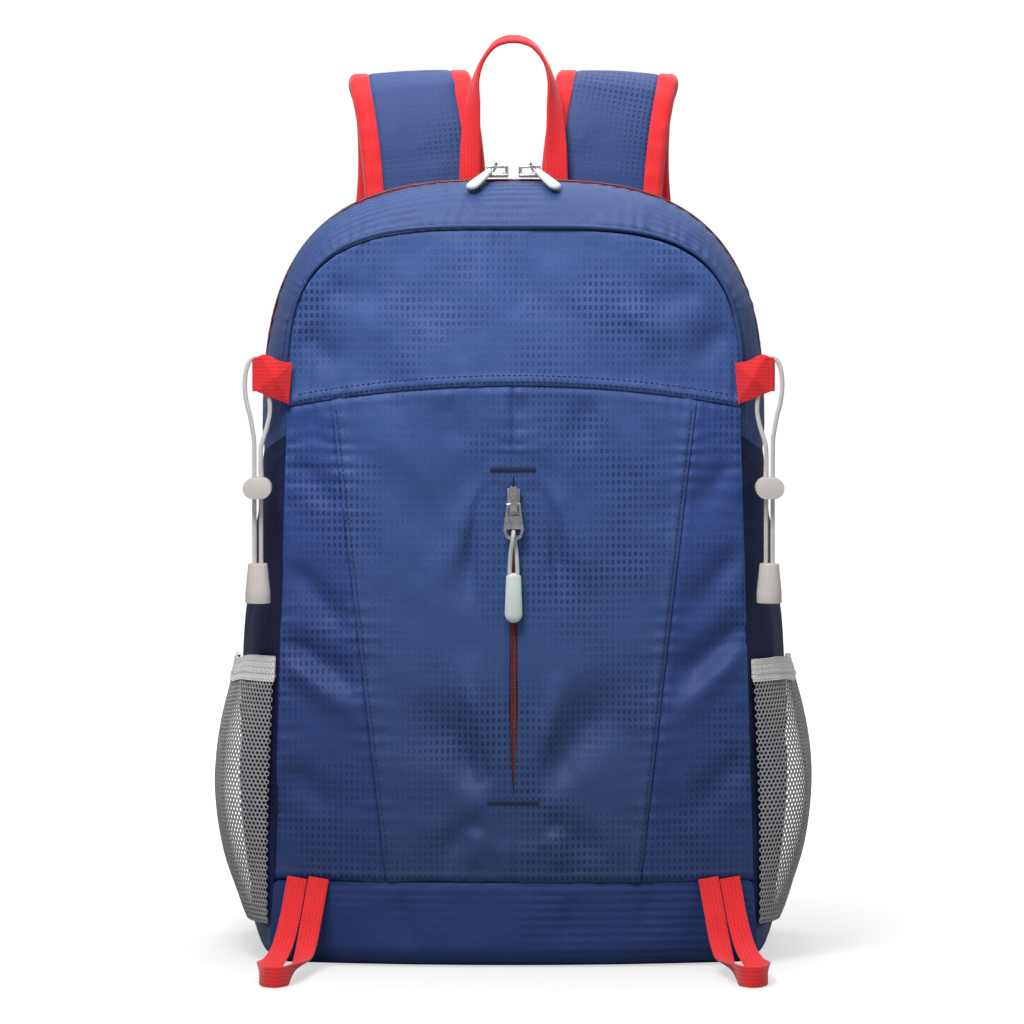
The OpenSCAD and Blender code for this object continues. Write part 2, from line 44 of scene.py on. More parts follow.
# The camera stands a little above the middle of the bag, straight in front of it.
look_at = Vector((-0.0009, -0.085, 0.266))
camera_rise = math.radians(3.5)
camera_far = 3.0
camera = bpy.data.objects.new("camera", bpy.data.cameras.new("camera"))
camera.data.lens = 181.8
camera.location = look_at + camera_far * Vector(
    (0, -math.cos(camera_rise), math.sin(camera_rise)))
camera.rotation_euler = (math.radians(90) - camera_rise, 0, 0)
bpy.context.scene.collection.objects.link(camera)
bpy.context.scene.camera = camera


# ---------------------------------------------------------------- small tools

def lerp(a, b, t):
    return a + (b - a) * t


def ease(t):
    """0 below 0, 1 above 1 and a smooth step between."""
    t = np.clip(t, 0, 1)
    return t * t * (3 - 2 * t)


def bump(d, width):
    """1 at d = 0, falling to nothing a few widths away."""
    return np.exp(-(d / width) ** 2)


def grain(x, y, seed=0):
    """Smooth random hills from -1 to 1, one unit apart."""
    def corner(i, j):
        s = np.sin(i * 127.1 + j * 311.7 + seed * 74.7) * 43758.5453
        return 2 * (s - np.floor(s)) - 1
    i, j = np.floor(x), np.floor(y)
    u, v = ease(x - i), ease(y - j)
    low = lerp(corner(i, j), corner(i + 1, j), u)
    high = lerp(corner(i, j + 1), corner(i + 1, j + 1), u)
    return lerp(low, high, v)


def fold(x, z, a, b, width, height):
    """A crease along the line from a to b: a ridge, or a valley if height is negative."""
    ax, az, dx, dz = a[0], a[1], b[0] - a[0], b[1] - a[1]
    length = math.hypot(dx, dz)
    along = ((x - ax) * dx + (z - az) * dz) / length
    off = ((x - ax) * dz - (z - az) * dx) / length
    falloff = ease(along / (0.3 * length)) * ease((length - along) / (0.45 * length))
    return height * bump(off, width * (0.7 + 0.5 * along / length)) * falloff


def catmull(points, n):
    """A smooth path of n steps through given points."""
    p = np.array(points, float)
    m = len(p) - 1
    s = np.linspace(0, m, n + 1)
    i = np.minimum(np.floor(s).astype(int), m - 1)
    t = (s - i)[:, None]
    a, b = p[np.maximum(i - 1, 0)], p[i]
    c, d = p[i + 1], p[np.minimum(i + 2, m)]
    return (b + (c - a) * (t / 2) + (2 * a - 5 * b + 4 * c - d) * (t * t / 2)
            + (3 * b - a - 3 * c + d) * (t ** 3 / 2))


def run_length(path):
    """Distance along a path at each of its points."""
    step = np.linalg.norm(np.diff(path, axis=0), axis=1)
    return np.concatenate([[0], np.cumsum(step)])


def unit(v):
    return v / np.maximum(np.linalg.norm(v, axis=-1, keepdims=True), 1e-9)


def linear(code, alpha=1.0):
    """A hex colour as the linear values that a shader wants."""
    parts = [int(code[i:i + 2], 16) / 255 for i in (1, 3, 5)]
    return tuple(c / 12.92 if c <= 0.04045 else ((c + 0.055) / 1.055) ** 2.4
                 for c in parts) + (alpha,)


def piece(name, points, faces, uv, body, finish, nodes=(), angle=50):
    """A closed mesh from points in millimetres, with a UV for each face corner in metres."""
    mesh = bpy.data.meshes.new(name)
    mesh.from_pydata((np.asarray(points, float) * MM).tolist(), [], faces)
    layer = mesh.uv_layers.new(name="cloth")
    layer.data.foreach_set("uv", (np.asarray(uv, np.float32) * MM).ravel())
    mesh.shade_smooth()
    mesh.set_sharp_from_angle(angle=math.radians(angle))
    obj = bpy.data.objects.new(name, mesh)
    bpy.context.scene.collection.objects.link(obj)
    mesh.materials.append(finish)
    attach(obj, body)
    if nodes:
        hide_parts(*nodes)
    return obj


def slab(name, outer, thick, u, v, finish, nodes=(), body="bag"):
    """A sheet of cloth: outer is a grid of points whose rows go up and whose columns go
    right, seen from outside. u and v are the grid's places on the cloth."""
    rows, cols = outer.shape[:2]
    across = np.gradient(outer, axis=1)
    up = np.gradient(outer, axis=0)
    inner = outer - unit(np.cross(across, up)) * thick
    points = np.concatenate([outer.reshape(-1, 3), inner.reshape(-1, 3)])
    count = rows * cols
    i, j = np.meshgrid(np.arange(rows - 1), np.arange(cols - 1), indexing="ij")
    a = (i * cols + j).ravel()
    front = np.stack([a, a + 1, a + cols + 1, a + cols], 1)
    back = front[:, ::-1] + count
    k = np.arange(cols - 1)
    low = np.stack([k + 1, k, k + count, k + 1 + count], 1)
    top = (rows - 1) * cols + k
    high = np.stack([top, top + 1, top + 1 + count, top + count], 1)
    r = np.arange(rows - 1) * cols
    start = np.stack([r, r + cols, r + cols + count, r + count], 1)
    r = r + cols - 1
    end = np.stack([r + cols, r, r + count, r + cols + count], 1)
    faces = np.concatenate([front, back, low, high, start, end])
    flat = np.stack([u.ravel(), v.ravel()], 1)
    uv = np.concatenate([flat, flat])[faces.ravel()]
    return piece(name, points, faces.tolist(), uv, body, finish, nodes)


def sweep(name, path, sides, profile, finish, nodes=(), body="bag", lift=None,
          closed=False, angle=50):
    """A solid whose cross-section, pairs of sideways and outward distances, runs along
    a path. lift moves its surface outwards, for each step and each profile point."""
    path, profile = np.asarray(path, float), np.asarray(profile, float)
    n, k = len(path), len(profile)
    along = unit(np.gradient(path, axis=0))
    side = np.broadcast_to(np.asarray(sides, float), path.shape)
    side = unit(side - along * np.sum(side * along, 1, keepdims=True))
    out = np.cross(along, side)
    shape = np.broadcast_to(profile, (n, k, 2)).copy()
    if lift is not None:
        shape[..., 1] += lift * np.sign(profile[:, 1])
    points = (path[:, None] + side[:, None] * shape[..., :1]
              + out[:, None] * shape[..., 1:]).reshape(-1, 3)
    rows = n if closed else n - 1
    i, j = np.meshgrid(np.arange(rows), np.arange(k), indexing="ij")
    i, j = i.ravel(), j.ravel()
    i2, j2 = (i + 1) % n, (j + 1) % k
    faces = np.stack([i * k + j, i * k + j2, i2 * k + j2, i2 * k + j], 1)
    round_it = np.concatenate([[0], np.cumsum(np.linalg.norm(
        np.roll(profile, -1, axis=0) - profile, axis=1))])
    length = run_length(np.concatenate([path, path[:1]]))
    u = np.stack([round_it[j], round_it[j + 1], round_it[j + 1], round_it[j]], 1)
    v = np.stack([length[i], length[i], length[i + 1], length[i + 1]], 1)
    uv = np.stack([u.ravel(), v.ravel()], 1)
    faces = faces.tolist()
    if not closed:
        faces += [list(range(k))[::-1], list(range((n - 1) * k, n * k))]
        uv = np.concatenate([uv, np.stack([profile[::-1, 0], profile[::-1, 1]], 1),
                             profile])
    return piece(name, points, faces, uv, body, finish, nodes, angle)


def threads(name, a, b, out, size, slot, finish, nodes=(), body="bag"):
    """Sewing thread: a short arched strand from each point of a to its point of b."""
    a, b = np.asarray(a, float), np.asarray(b, float)
    along = unit(b - a)
    side = unit(np.cross(along, np.broadcast_to(np.asarray(out, float), a.shape)))
    out = np.cross(side, along)
    turn = np.radians(np.arange(6) * 60)[None, :, None]
    rings = []
    for share, fat, rise in ((0, 0.35, -0.4), (0.22, 1, 0.25), (0.78, 1, 0.25), (1, 0.35, -0.4)):
        centre = a + (b - a) * share + out * rise * size
        rings.append(centre[:, None] + (side[:, None] * np.cos(turn)
                                        + out[:, None] * np.sin(turn)) * size / 2 * fat)
    points = np.stack(rings, 1).reshape(-1, 3)
    one = [[r * 6 + k, r * 6 + (k + 1) % 6, r * 6 + 6 + (k + 1) % 6, r * 6 + 6 + k]
           for r in range(3) for k in range(6)]
    ends = [[5, 4, 3, 2, 1, 0], [18, 19, 20, 21, 22, 23]]
    faces = [[24 * i + k for k in face] for i in range(len(a)) for face in one + ends]
    place = np.array([(k * size / 2, r * 0.8) for r in range(4) for k in range(6)])
    uv = np.concatenate([place[np.array(face)] for face in one + ends])
    return piece(name, points, faces, np.tile(uv, (len(a), 1)), body, finish, nodes)


def stitches(name, path, out, slot, finish, pitch=3.2, length=2.4, size=0.6, body="bag"):
    """A row of lock stitches along a path."""
    run = run_length(path)
    at = np.arange(pitch, run[-1] - pitch, pitch)
    ends = [np.stack([np.interp(at + d, run, path[:, k]) for k in range(3)], 1)
            for d in (-length / 2, length / 2)]
    out = np.broadcast_to(np.asarray(out, float), path.shape)
    out = np.stack([np.interp(at, run, out[:, k]) for k in range(3)], 1)
    return threads(name, *ends, out, size, slot, finish, body=body)


def round_bar(width, height, corner=None, across=8):
    """Cross-section of flat webbing with soft edges, counter-clockwise."""
    r = corner or height / 2
    turns = np.radians(np.linspace(0, 90, 4))
    right = [(width / 2 - r + r * math.cos(a), height / 2 - r + r * math.sin(a))
             for a in turns]
    top = right + [(x, height / 2) for x in
                   np.linspace(width / 2 - r, -width / 2 + r, across)[1:-1]]
    top += [(-x, y) for x, y in reversed(right)]
    return np.array(top + [(-x, -y) for x, y in top])


def circle(diameter, sides=12):
    a = np.linspace(0, 2 * math.pi, sides, endpoint=False)
    return np.stack([np.cos(a), np.sin(a)], 1) * diameter / 2


# ---------------------------------------------------------------- materials

def start(name):
    """A new material: its tree, its shader and a function that adds a node to it."""
    mat = bpy.data.materials.new(name)
    mat.use_nodes = True
    tree = mat.node_tree
    shader = tree.nodes["Principled BSDF"]

    def add(kind, inputs, **settings):
        node = tree.nodes.new(kind)
        for key, value in settings.items():
            setattr(node, key, value)
        for key, value in inputs.items():
            if isinstance(value, bpy.types.NodeSocket):
                tree.links.new(value, node.inputs[key])
            else:
                node.inputs[key].default_value = value
        return node.outputs

    def finish(colour, height=None, depth=0.0, rough=None, **sockets):
        tree.links.new(colour, shader.inputs["Base Color"])
        if rough is not None:
            tree.links.new(rough, shader.inputs["Roughness"])
        if height is not None:
            lump = add("ShaderNodeBump", {"Height": height, "Distance": depth * MM,
                                          "Strength": 1.0})
            tree.links.new(lump[0], shader.inputs["Normal"])
        for key, value in sockets.items():
            shader.inputs[key.replace("_", " ")].default_value = value
        return mat
    return add, finish


def ripstop(name, base, light, cell, pitch_u, pitch_v, patch=70, depth=0.25,
            rough=0.55, sheen=0.08, crumple=1.0, falloff=0.0):
    """Ripstop nylon, plain woven with a grid of thicker threads. Each pocket of the grid
    reads as a small dark hollow between paler ribs, more plainly in some patches than
    in others, and the cloth is slightly crumpled all over."""
    add, finish = start(name)
    uv = add("ShaderNodeUVMap", {}, uv_map="cloth")[0]
    place = add("ShaderNodeTexCoord", {})["Object"]
    axes = add("ShaderNodeSeparateXYZ", {0: uv})
    wander = add("ShaderNodeTexNoise", {"Vector": place, "Scale": 140.0, "Detail": 2.0})[0]
    waver = add("ShaderNodeMath", {0: wander, 1: 0.5, 2: -0.25}, operation="MULTIPLY_ADD")[0]
    rows = []
    for axis, pitch, fill in ((axes[0], pitch_u, 0.50), (axes[1], pitch_v, 0.42)):
        count = add("ShaderNodeMath", {0: axis, 1: 2 / (pitch * MM), 2: waver},
                    operation="MULTIPLY_ADD")[0]
        saw = add("ShaderNodeMath", {0: count, 1: 1.0}, operation="PINGPONG")[0]
        rows.append(add("ShaderNodeMapRange", {
            0: saw, 1: fill - 0.2, 2: fill + 0.2, 3: 0.0, 4: 1.0},
            interpolation_type="SMOOTHSTEP")[0])
    hollow = add("ShaderNodeMath", {0: rows[0], 1: rows[1]}, operation="MULTIPLY")[0]
    wear = add("ShaderNodeTexNoise", {"Vector": place, "Scale": 1000 / patch,
                                      "Detail": 3.0, "Roughness": 0.6})[0]
    strength = add("ShaderNodeMapRange", {0: wear, 1: 0.44, 2: 0.64, 3: 0.1, 4: 0.85})[0]
    shade = add("ShaderNodeMath", {0: hollow, 1: strength}, operation="MULTIPLY")[0]
    thread = add("ShaderNodeTexNoise", {"Vector": place, "Scale": 1500.0, "Detail": 2.0})[0]
    tint = add("ShaderNodeMixRGB", {0: wear, 1: linear(base), 2: linear(light)})[0]
    fleck = add("ShaderNodeMapRange", {0: thread, 1: 0.3, 2: 0.7, 3: 0.82, 4: 1.16})[0]
    tint = add("ShaderNodeMixRGB", {0: 1.0, 1: tint, 2: fleck}, blend_type="MULTIPLY")[0]
    colour = add("ShaderNodeMixRGB", {0: shade, 1: tint, 2: linear(cell)})[0]
    # Painted shade: the colour is darker low down, standing in for the light that falls from
    # above.
    high = add("ShaderNodeSeparateXYZ", {0: place})[2]
    painted_low_shade = add("ShaderNodeMapRange", {0: high, 1: 0.04, 2: 0.3, 3: 1 - falloff, 4: 1.0})[0]
    colour = add("ShaderNodeMixRGB", {0: 1.0, 1: colour, 2: painted_low_shade}, blend_type="MULTIPLY")[0]
    # Heights are in units of the grid's depth: the crumpling stands about 1.5 mm.
    height = add("ShaderNodeMath", {0: shade, 1: -1.0, 2: thread},
                 operation="MULTIPLY_ADD")[0]
    creased = add("ShaderNodeTexNoise", {"Vector": place, "Scale": 38.0, "Detail": 2.0,
                                         "Roughness": 0.4, "Distortion": 0.3})[0]
    height = add("ShaderNodeMath", {0: creased, 1: 7.0 * crumple, 2: height},
                 operation="MULTIPLY_ADD")[0]
    return finish(colour, height, depth, Roughness=rough, IOR=1.53,
                  Sheen_Weight=sheen, Sheen_Roughness=0.4, Specular_IOR_Level=0.3)


def woven(name, base, dark, pitch_v, pitch_u=1.1, depth=0.18, rough=0.75, sheen=0.25,
          slant=0.0):
    """Webbing, tape or elastic: ribs across its run, each broken up by the warp."""
    add, finish = start(name)
    uv = add("ShaderNodeUVMap", {}, uv_map="cloth")[0]
    place = add("ShaderNodeTexCoord", {})["Object"]
    axes = add("ShaderNodeSeparateXYZ", {0: uv})
    across = add("ShaderNodeMath", {0: axes[0], 1: 1 / (pitch_u * MM)},
                 operation="MULTIPLY")[0]
    along = add("ShaderNodeMath", {0: axes[1], 1: 1 / (pitch_v * MM)},
                operation="MULTIPLY")[0]
    along = add("ShaderNodeMath", {0: across, 1: slant, 2: along},
                operation="MULTIPLY_ADD")[0]
    warp = add("ShaderNodeMath", {0: across, 1: 1.0}, operation="PINGPONG")[0]
    step = add("ShaderNodeMath", {0: across}, operation="FLOOR")[0]
    shift = add("ShaderNodeMath", {0: step, 1: 0.5, 2: along}, operation="MULTIPLY_ADD")[0]
    weft = add("ShaderNodeMath", {0: shift, 1: 0.5}, operation="PINGPONG")[0]
    rib = add("ShaderNodeMapRange", {0: weft, 1: 0.0, 2: 0.3, 3: 0.0, 4: 1.0},
              interpolation_type="SMOOTHSTEP")[0]
    cord = add("ShaderNodeMapRange", {0: warp, 1: 0.0, 2: 0.45, 3: 0.35, 4: 1.0},
               interpolation_type="SMOOTHSTEP")[0]
    high = add("ShaderNodeMath", {0: rib, 1: cord}, operation="MULTIPLY")[0]
    fuzz = add("ShaderNodeTexNoise", {"Vector": place, "Scale": 900.0, "Detail": 3.0})[0]
    grey = add("ShaderNodeMapRange", {0: fuzz, 1: 0.3, 2: 0.7, 3: 0.9, 4: 1.08})[0]
    colour = add("ShaderNodeMixRGB", {0: high, 1: linear(dark), 2: linear(base)})[0]
    colour = add("ShaderNodeMixRGB", {0: 1.0, 1: colour, 2: grey}, blend_type="MULTIPLY")[0]
    height = add("ShaderNodeMath", {0: fuzz, 1: 0.4, 2: high}, operation="MULTIPLY_ADD")[0]
    return finish(colour, height, depth, Roughness=rough, IOR=1.53, Sheen_Weight=sheen,
                  Sheen_Roughness=0.5, Specular_IOR_Level=0.3)


def moulded(name, base, shade, rough=0.38, grain_size=0.5, depth=0.02, coat=0.0,
            subsurface=0.0):
    """Injection-moulded plastic or rubber: faint mould texture and slight handling wear."""
    add, finish = start(name)
    place = add("ShaderNodeTexCoord", {})["Object"]
    fine = add("ShaderNodeTexNoise", {"Vector": place, "Scale": 1000 / grain_size,
                                      "Detail": 3.0})[0]
    wide = add("ShaderNodeTexNoise", {"Vector": place, "Scale": 120.0, "Detail": 2.0})[0]
    colour = add("ShaderNodeMixRGB", {0: wide, 1: linear(shade), 2: linear(base)})[0]
    gloss = add("ShaderNodeMapRange", {0: wide, 1: 0.3, 2: 0.7, 3: rough - 0.06,
                                       4: rough + 0.08})[0]
    return finish(colour, fine, depth, gloss, IOR=1.48, Coat_Weight=coat,
                  Subsurface_Weight=subsurface, Subsurface_Scale=0.002)


def metal(name, base, shade, rough=0.28):
    """Die-cast zinc or steel with a satin plating, a little cloudy."""
    add, finish = start(name)
    place = add("ShaderNodeTexCoord", {})["Object"]
    cloud = add("ShaderNodeTexNoise", {"Vector": place, "Scale": 500.0, "Detail": 4.0})[0]
    fine = add("ShaderNodeTexNoise", {"Vector": place, "Scale": 2500.0, "Detail": 2.0})[0]
    colour = add("ShaderNodeMixRGB", {0: cloud, 1: linear(shade), 2: linear(base)})[0]
    gloss = add("ShaderNodeMapRange", {0: cloud, 1: 0.3, 2: 0.7, 3: rough - 0.07,
                                       4: rough + 0.1})[0]
    return finish(colour, fine, 0.015, gloss, Metallic=0.9)


def spacer(name, base, hole, pitch):
    """Knitted spacer mesh: round eyelets in staggered rows over foam."""
    add, finish = start(name)
    uv = add("ShaderNodeUVMap", {}, uv_map="cloth")[0]
    cells = add("ShaderNodeTexVoronoi", {"Vector": uv, "Scale": 1000 / pitch,
                                         "Randomness": 0.12})[0]
    rim = add("ShaderNodeMapRange", {0: cells, 1: 0.22, 2: 0.42, 3: 0.0, 4: 1.0},
              interpolation_type="SMOOTHSTEP")[0]
    fuzz = add("ShaderNodeTexNoise", {"Vector": uv, "Scale": 1500.0, "Detail": 2.0})[0]
    colour = add("ShaderNodeMixRGB", {0: rim, 1: linear(hole), 2: linear(base)})[0]
    height = add("ShaderNodeMath", {0: fuzz, 1: 0.3, 2: rim}, operation="MULTIPLY_ADD")[0]
    return finish(colour, height, 0.6, Roughness=0.8, Sheen_Weight=0.2,
                  Sheen_Roughness=0.5, Specular_IOR_Level=0.25)


def yarn(name, base, shade, pitch, rough=0.7):
    """Twisted or braided yarn: slanting strands round a thread or cord."""
    add, finish = start(name)
    uv = add("ShaderNodeUVMap", {}, uv_map="cloth")[0]
    axes = add("ShaderNodeSeparateXYZ", {0: uv})
    heights = []
    for lean in (1.0, -1.0):
        mix = add("ShaderNodeMath", {0: axes[0], 1: lean, 2: axes[1]},
                  operation="MULTIPLY_ADD")[0]
        count = add("ShaderNodeMath", {0: mix, 1: 1 / (pitch * MM)},
                    operation="MULTIPLY")[0]
        heights.append(add("ShaderNodeMath", {0: count, 1: 0.5}, operation="PINGPONG")[0])
    cross = add("ShaderNodeMath", {0: heights[0], 1: heights[1]}, operation="MULTIPLY")[0]
    high = add("ShaderNodeMapRange", {0: cross, 1: 0.02, 2: 0.16, 3: 0.0, 4: 1.0})[0]
    colour = add("ShaderNodeMixRGB", {0: high, 1: linear(shade), 2: linear(base)})[0]
    return finish(colour, high, 0.15, Roughness=rough, Sheen_Weight=0.2,
                  Sheen_Roughness=0.5, Specular_IOR_Level=0.3)


# Ripstop nylon: the front is the palest, and the base is darker. Its grid is
# 3.3 mm by 4.6 mm, and that of the gusset and base lies across and is 4.9 mm by 1.6 mm.
# The front's colour is painted darker towards the bottom, painted shade for light from
# above, and the sides take darker copies of it, which are painted shade too.
NAVY = ripstop("ripstop_nylon_blue", "#375590", "#405f9e", "#1e3264", 3.3, 4.6,
               falloff=0.5)
# Painted shade: a darker copy of the front's ripstop for its side panels, which turn away from
# the light.
NAVY_SIDE_SHADED = ripstop("ripstop_nylon_blue_side_shaded", "#2f4b8d", "#36569a", "#192b5c", 3.3, 4.6,
                   falloff=0.45)
NAVY_TURNED = ripstop("ripstop_nylon_blue_turned", "#2b4579", "#334f88", "#1d3462",
                      4.9, 1.6, depth=0.3)
NAVY_BASE = ripstop("ripstop_nylon_blue_base", "#1f3570", "#274080", "#162857", 4.9, 1.6)
# Painted shade: a much darker copy of the blue ripstop for the side walls, the gusset's back and
# the corner tabs, which face away from the light.
NAVY_SHADED = ripstop("ripstop_nylon_blue_shaded", "#0c1740", "#101d4c", "#081132", 3.3, 4.6,
               rough=0.6, sheen=0.0)
STRAP = ripstop("ripstop_nylon_blue_straps", "#2a437c", "#304b86", "#1b2c5a", 3.3, 3.3,
                crumple=0.5)
# Woven nylon: webbing with a rib every 1.6 mm, and closer woven binding, tape and
# lining. Dull, with a slight sheen from its fibres.
RED_WEBBING = woven("nylon_webbing_red", "#ff2a31", "#d01c26", 1.6)
RED_BINDING = woven("grosgrain_binding_red", "#ff2c31", "#d62029", 0.9, 0.9, 0.1)
RED_TAPE = woven("zip_tape_red", "#b3232f", "#7c1420", 0.9, 0.8, 0.1)
POCKET_TAPE = woven("zip_tape_dark_red", "#5c0e1e", "#3c0813", 0.9, 0.8, 0.1)
LINING = woven("nylon_lining_dark_red", "#4b0b18", "#320711", 0.6, 0.6, 0.05)
BLACK_WEBBING = woven("nylon_webbing_black", "#22242a", "#101114", 1.6)
ELASTIC = woven("woven_elastic_pale_grey", "#eceae9", "#c2c1c1", 1.2, 1.6, 0.3)
MESH_YARN = moulded("polyester_mesh_light_grey", "#a4a4a6", "#8c8c8f", 0.7, 0.3, 0.06)
CORD = yarn("braided_elastic_cord_light_grey", "#efedeb", "#c3c0be", 1.1)
PULL_CORD = yarn("braided_polyester_cord_mint", "#e3eae8", "#b5bdbc", 1.0)
NAVY_THREAD = yarn("sewing_thread_navy", "#20336c", "#14214b", 0.5)
# Moulded acetal is hard and slightly waxy, and thermoplastic rubber softer and duller.
PALE_ACETAL = moulded("acetal_warm_white", "#d8d2cd", "#cbc4bf", 0.34, subsurface=0.06)
BLACK_ACETAL = moulded("acetal_black", "#1d1f23", "#15161a", 0.4)
RUBBER = moulded("thermoplastic_rubber_mint_white", "#d6e2de", "#cad7d3", 0.45,
                 subsurface=0.08)
COIL = moulded("nylon_zip_coil_dark_red", "#6e1423", "#520d19", 0.42)
ZINC = metal("die_cast_zinc_satin_plated", "#d9dadc", "#b6b8bc")
STEEL = metal("spring_steel_wire", "#c9cbd0", "#a8abb2", 0.25)
SPACER = spacer("spacer_mesh_black", "#23262d", "#07080a", 2.6)
FOAM = moulded("closed_cell_foam_grey", "#8c8f94", "#7b7e83", 0.9, 0.8, 0.3)


# ---------------------------------------------------------------- the bag's lines

# Front seam, zip and back seam: half widths low and at the shoulder, and their arches.
LINE_Y = (-76, -42, 72)
LOW_W = (141, 149.5, 160)
SHOULDER_W = (133, 146.5, 151)
SHOULDER_Z = (310, 300, 300)
TOP_Z = (430, 458, 441)
ROUND = (3.8, 3.1, 3.1)
LOW_Z, FLOOR_Z, BASE_R = 50, 22, 14
CROWN = 14
SLIT_LOW, SLIT_HIGH = 99, 289
MOUTH_Z, BAND_H, BULGE = 186, 14, 23
FRONT_Y = LINE_Y[0] - CROWN


def line_side(k, z):
    """Half width of line k, below its arch."""
    return lerp(LOW_W[k], SHOULDER_W[k], (z - LOW_Z) / (SHOULDER_Z[k] - LOW_Z))


def line_xz(k, r, inset=0.0):
    """Half width and height of line k: its side for r up to 0.5, its arch above."""
    z = lerp(FLOOR_Z, SHOULDER_Z[k], 2 * np.minimum(r, 0.5))
    a = (2 * np.maximum(r, 0.5) - 1) * math.pi / 2
    power = 2 / ROUND[k]
    x_arch = (SHOULDER_W[k] - inset) * np.maximum(np.cos(a), 0) ** power
    z_arch = SHOULDER_Z[k] + (TOP_Z[k] - SHOULDER_Z[k] - inset) * np.sin(a) ** power
    low = r <= 0.5
    return np.where(low, line_side(k, z) - inset, x_arch), np.where(low, z, z_arch)


def wrap(q, r):
    """A point on the wrap: q runs 0, 1, 2 from front seam to zip to back seam."""
    q, r = np.broadcast_arrays(np.asarray(q, float), np.asarray(r, float))
    ends = [np.stack([*line_xz(k, r)], -1) for k in range(3)]
    f, m, b = [np.stack([e[..., 0], np.full(q.shape, y, float), e[..., 1]], -1)
               for e, y in zip(ends, LINE_Y)]
    c = m.copy()
    c[..., 1] = (LINE_Y[0] + LINE_Y[1]) / 2
    t, s = np.clip(q, 0, 1)[..., None], np.clip(q - 1, 0, 1)[..., None]
    front = f * (1 - t) ** 2 + c * 2 * t * (1 - t) + m * t * t
    return np.where(q[..., None] <= 1, front, lerp(m, b, s))


def even_arch(n):
    """Values of t along the arch, right to left, evenly spaced at the zip."""
    t = np.linspace(0, 1, 6001)
    length = run_length(arch(1.0, t))
    return np.interp(np.linspace(0, length[-1], n + 1), length, t), length[-1]


def arch(q, t):
    """A point on the wrap's arch: t runs 0 to 1 over the top, from right to left."""
    t = np.asarray(t, float)
    p = wrap(q, np.where(t < 0.5, 0.5 + t, 1.5 - t))
    p[..., 0] *= np.where(t <= 0.5, 1, -1)
    return p


def arch_z(x, inset=0.0):
    """Height of the front seam's arch."""
    w = SHOULDER_W[0] - inset
    rise = np.maximum(0, 1 - np.minimum(1, np.abs(x) / w) ** ROUND[0]) ** (1 / ROUND[0])
    return SHOULDER_Z[0] + (TOP_Z[0] - inset - SHOULDER_Z[0]) * rise


def cross_seam_z(x):
    return 339.5 - 13 * (x / SHOULDER_W[0]) ** 2


def side_seam_x(v):
    return lerp(74, 106, v)


def front_half(z):
    """Half width of the front."""
    top = np.clip((z - SHOULDER_Z[0]) / (TOP_Z[0] - SHOULDER_Z[0]), 0, 0.99999)
    return np.where(z <= SHOULDER_Z[0], line_side(0, z),
                    SHOULDER_W[0] * (1 - top ** ROUND[0]) ** (1 / ROUND[0]))


def front_at(x, z):
    """A point on the front's plain form, which swells towards the viewer."""
    rise = 1 - np.maximum(0, (z - 300) / (TOP_Z[0] - 300)) ** 2
    share = np.minimum(1, np.abs(x) / front_half(z))
    return np.stack([x, LINE_Y[0] - CROWN * rise * (1 - share ** 2), z], -1)


# Creases in the front: start, end, width and height of each. Pairs of one ridge and
# one valley run out of the bar tacks, down beside the slit and over the lower sides.
CREASES = [
    ((-8, 286), (-31, 205), 7, -2.6), ((-16, 292), (-46, 214), 6, 1.6),
    ((9, 286), (34, 200), 7, -2.4), ((18, 292), (50, 215), 6, 1.6),
    ((-12, 99), (-58, 168), 9, -2.6), ((-6, 110), (-34, 190), 7, 1.7),
    ((12, 99), (66, 175), 10, -2.8), ((6, 112), (40, 195), 7, 1.8),
    ((-14, 93), (-48, 58), 7, -1.7), ((14, 93), (52, 60), 7, -1.7),
    ((24, 84), (30, 54), 5, 1.3), ((-22, 84), (-26, 54), 5, 1.2),
    ((-138, 196), (-84, 160), 7, -2.4), ((-139, 182), (-80, 140), 6, 1.7),
    ((-134, 240), (-92, 190), 7, -1.8), ((-136, 120), (-92, 82), 8, -1.8),
    ((138, 206), (86, 158), 7, -2.4), ((139, 188), (84, 138), 6, 1.7),
    ((134, 250), (96, 196), 7, -1.8), ((137, 128), (94, 78), 8, -1.8),
    ((-128, 300), (-100, 262), 6, -1.3), ((128, 300), (102, 258), 6, -1.3),
    ((-126, 372), (-96, 346), 7, -1.4), ((126, 376), (98, 348), 7, -1.4),
    ((-112, 398), (-70, 384), 8, -1.2), ((112, 396), (74, 386), 8, -1.2),
    ((60, 388), (96, 360), 7, 1.0), ((-40, 334), (-30, 300), 6, -1.0),
    ((44, 334), (36, 300), 6, -1.0), ((3, 336), (4, 300), 5, -0.8),
]


def ruck(away, run, height=0.8, wide=8):
    """Puckers that cross a seam and die out away from it."""
    size = height * (0.6 + 0.7 * grain(run / 23, 0 * run, 5))
    wave = np.sin(run / 1.5 + 2.6 * grain(run / 14, away / 30, 3))
    return size * wave * np.exp(-np.abs(away) / wide) * ease(np.abs(away) / 2.0)


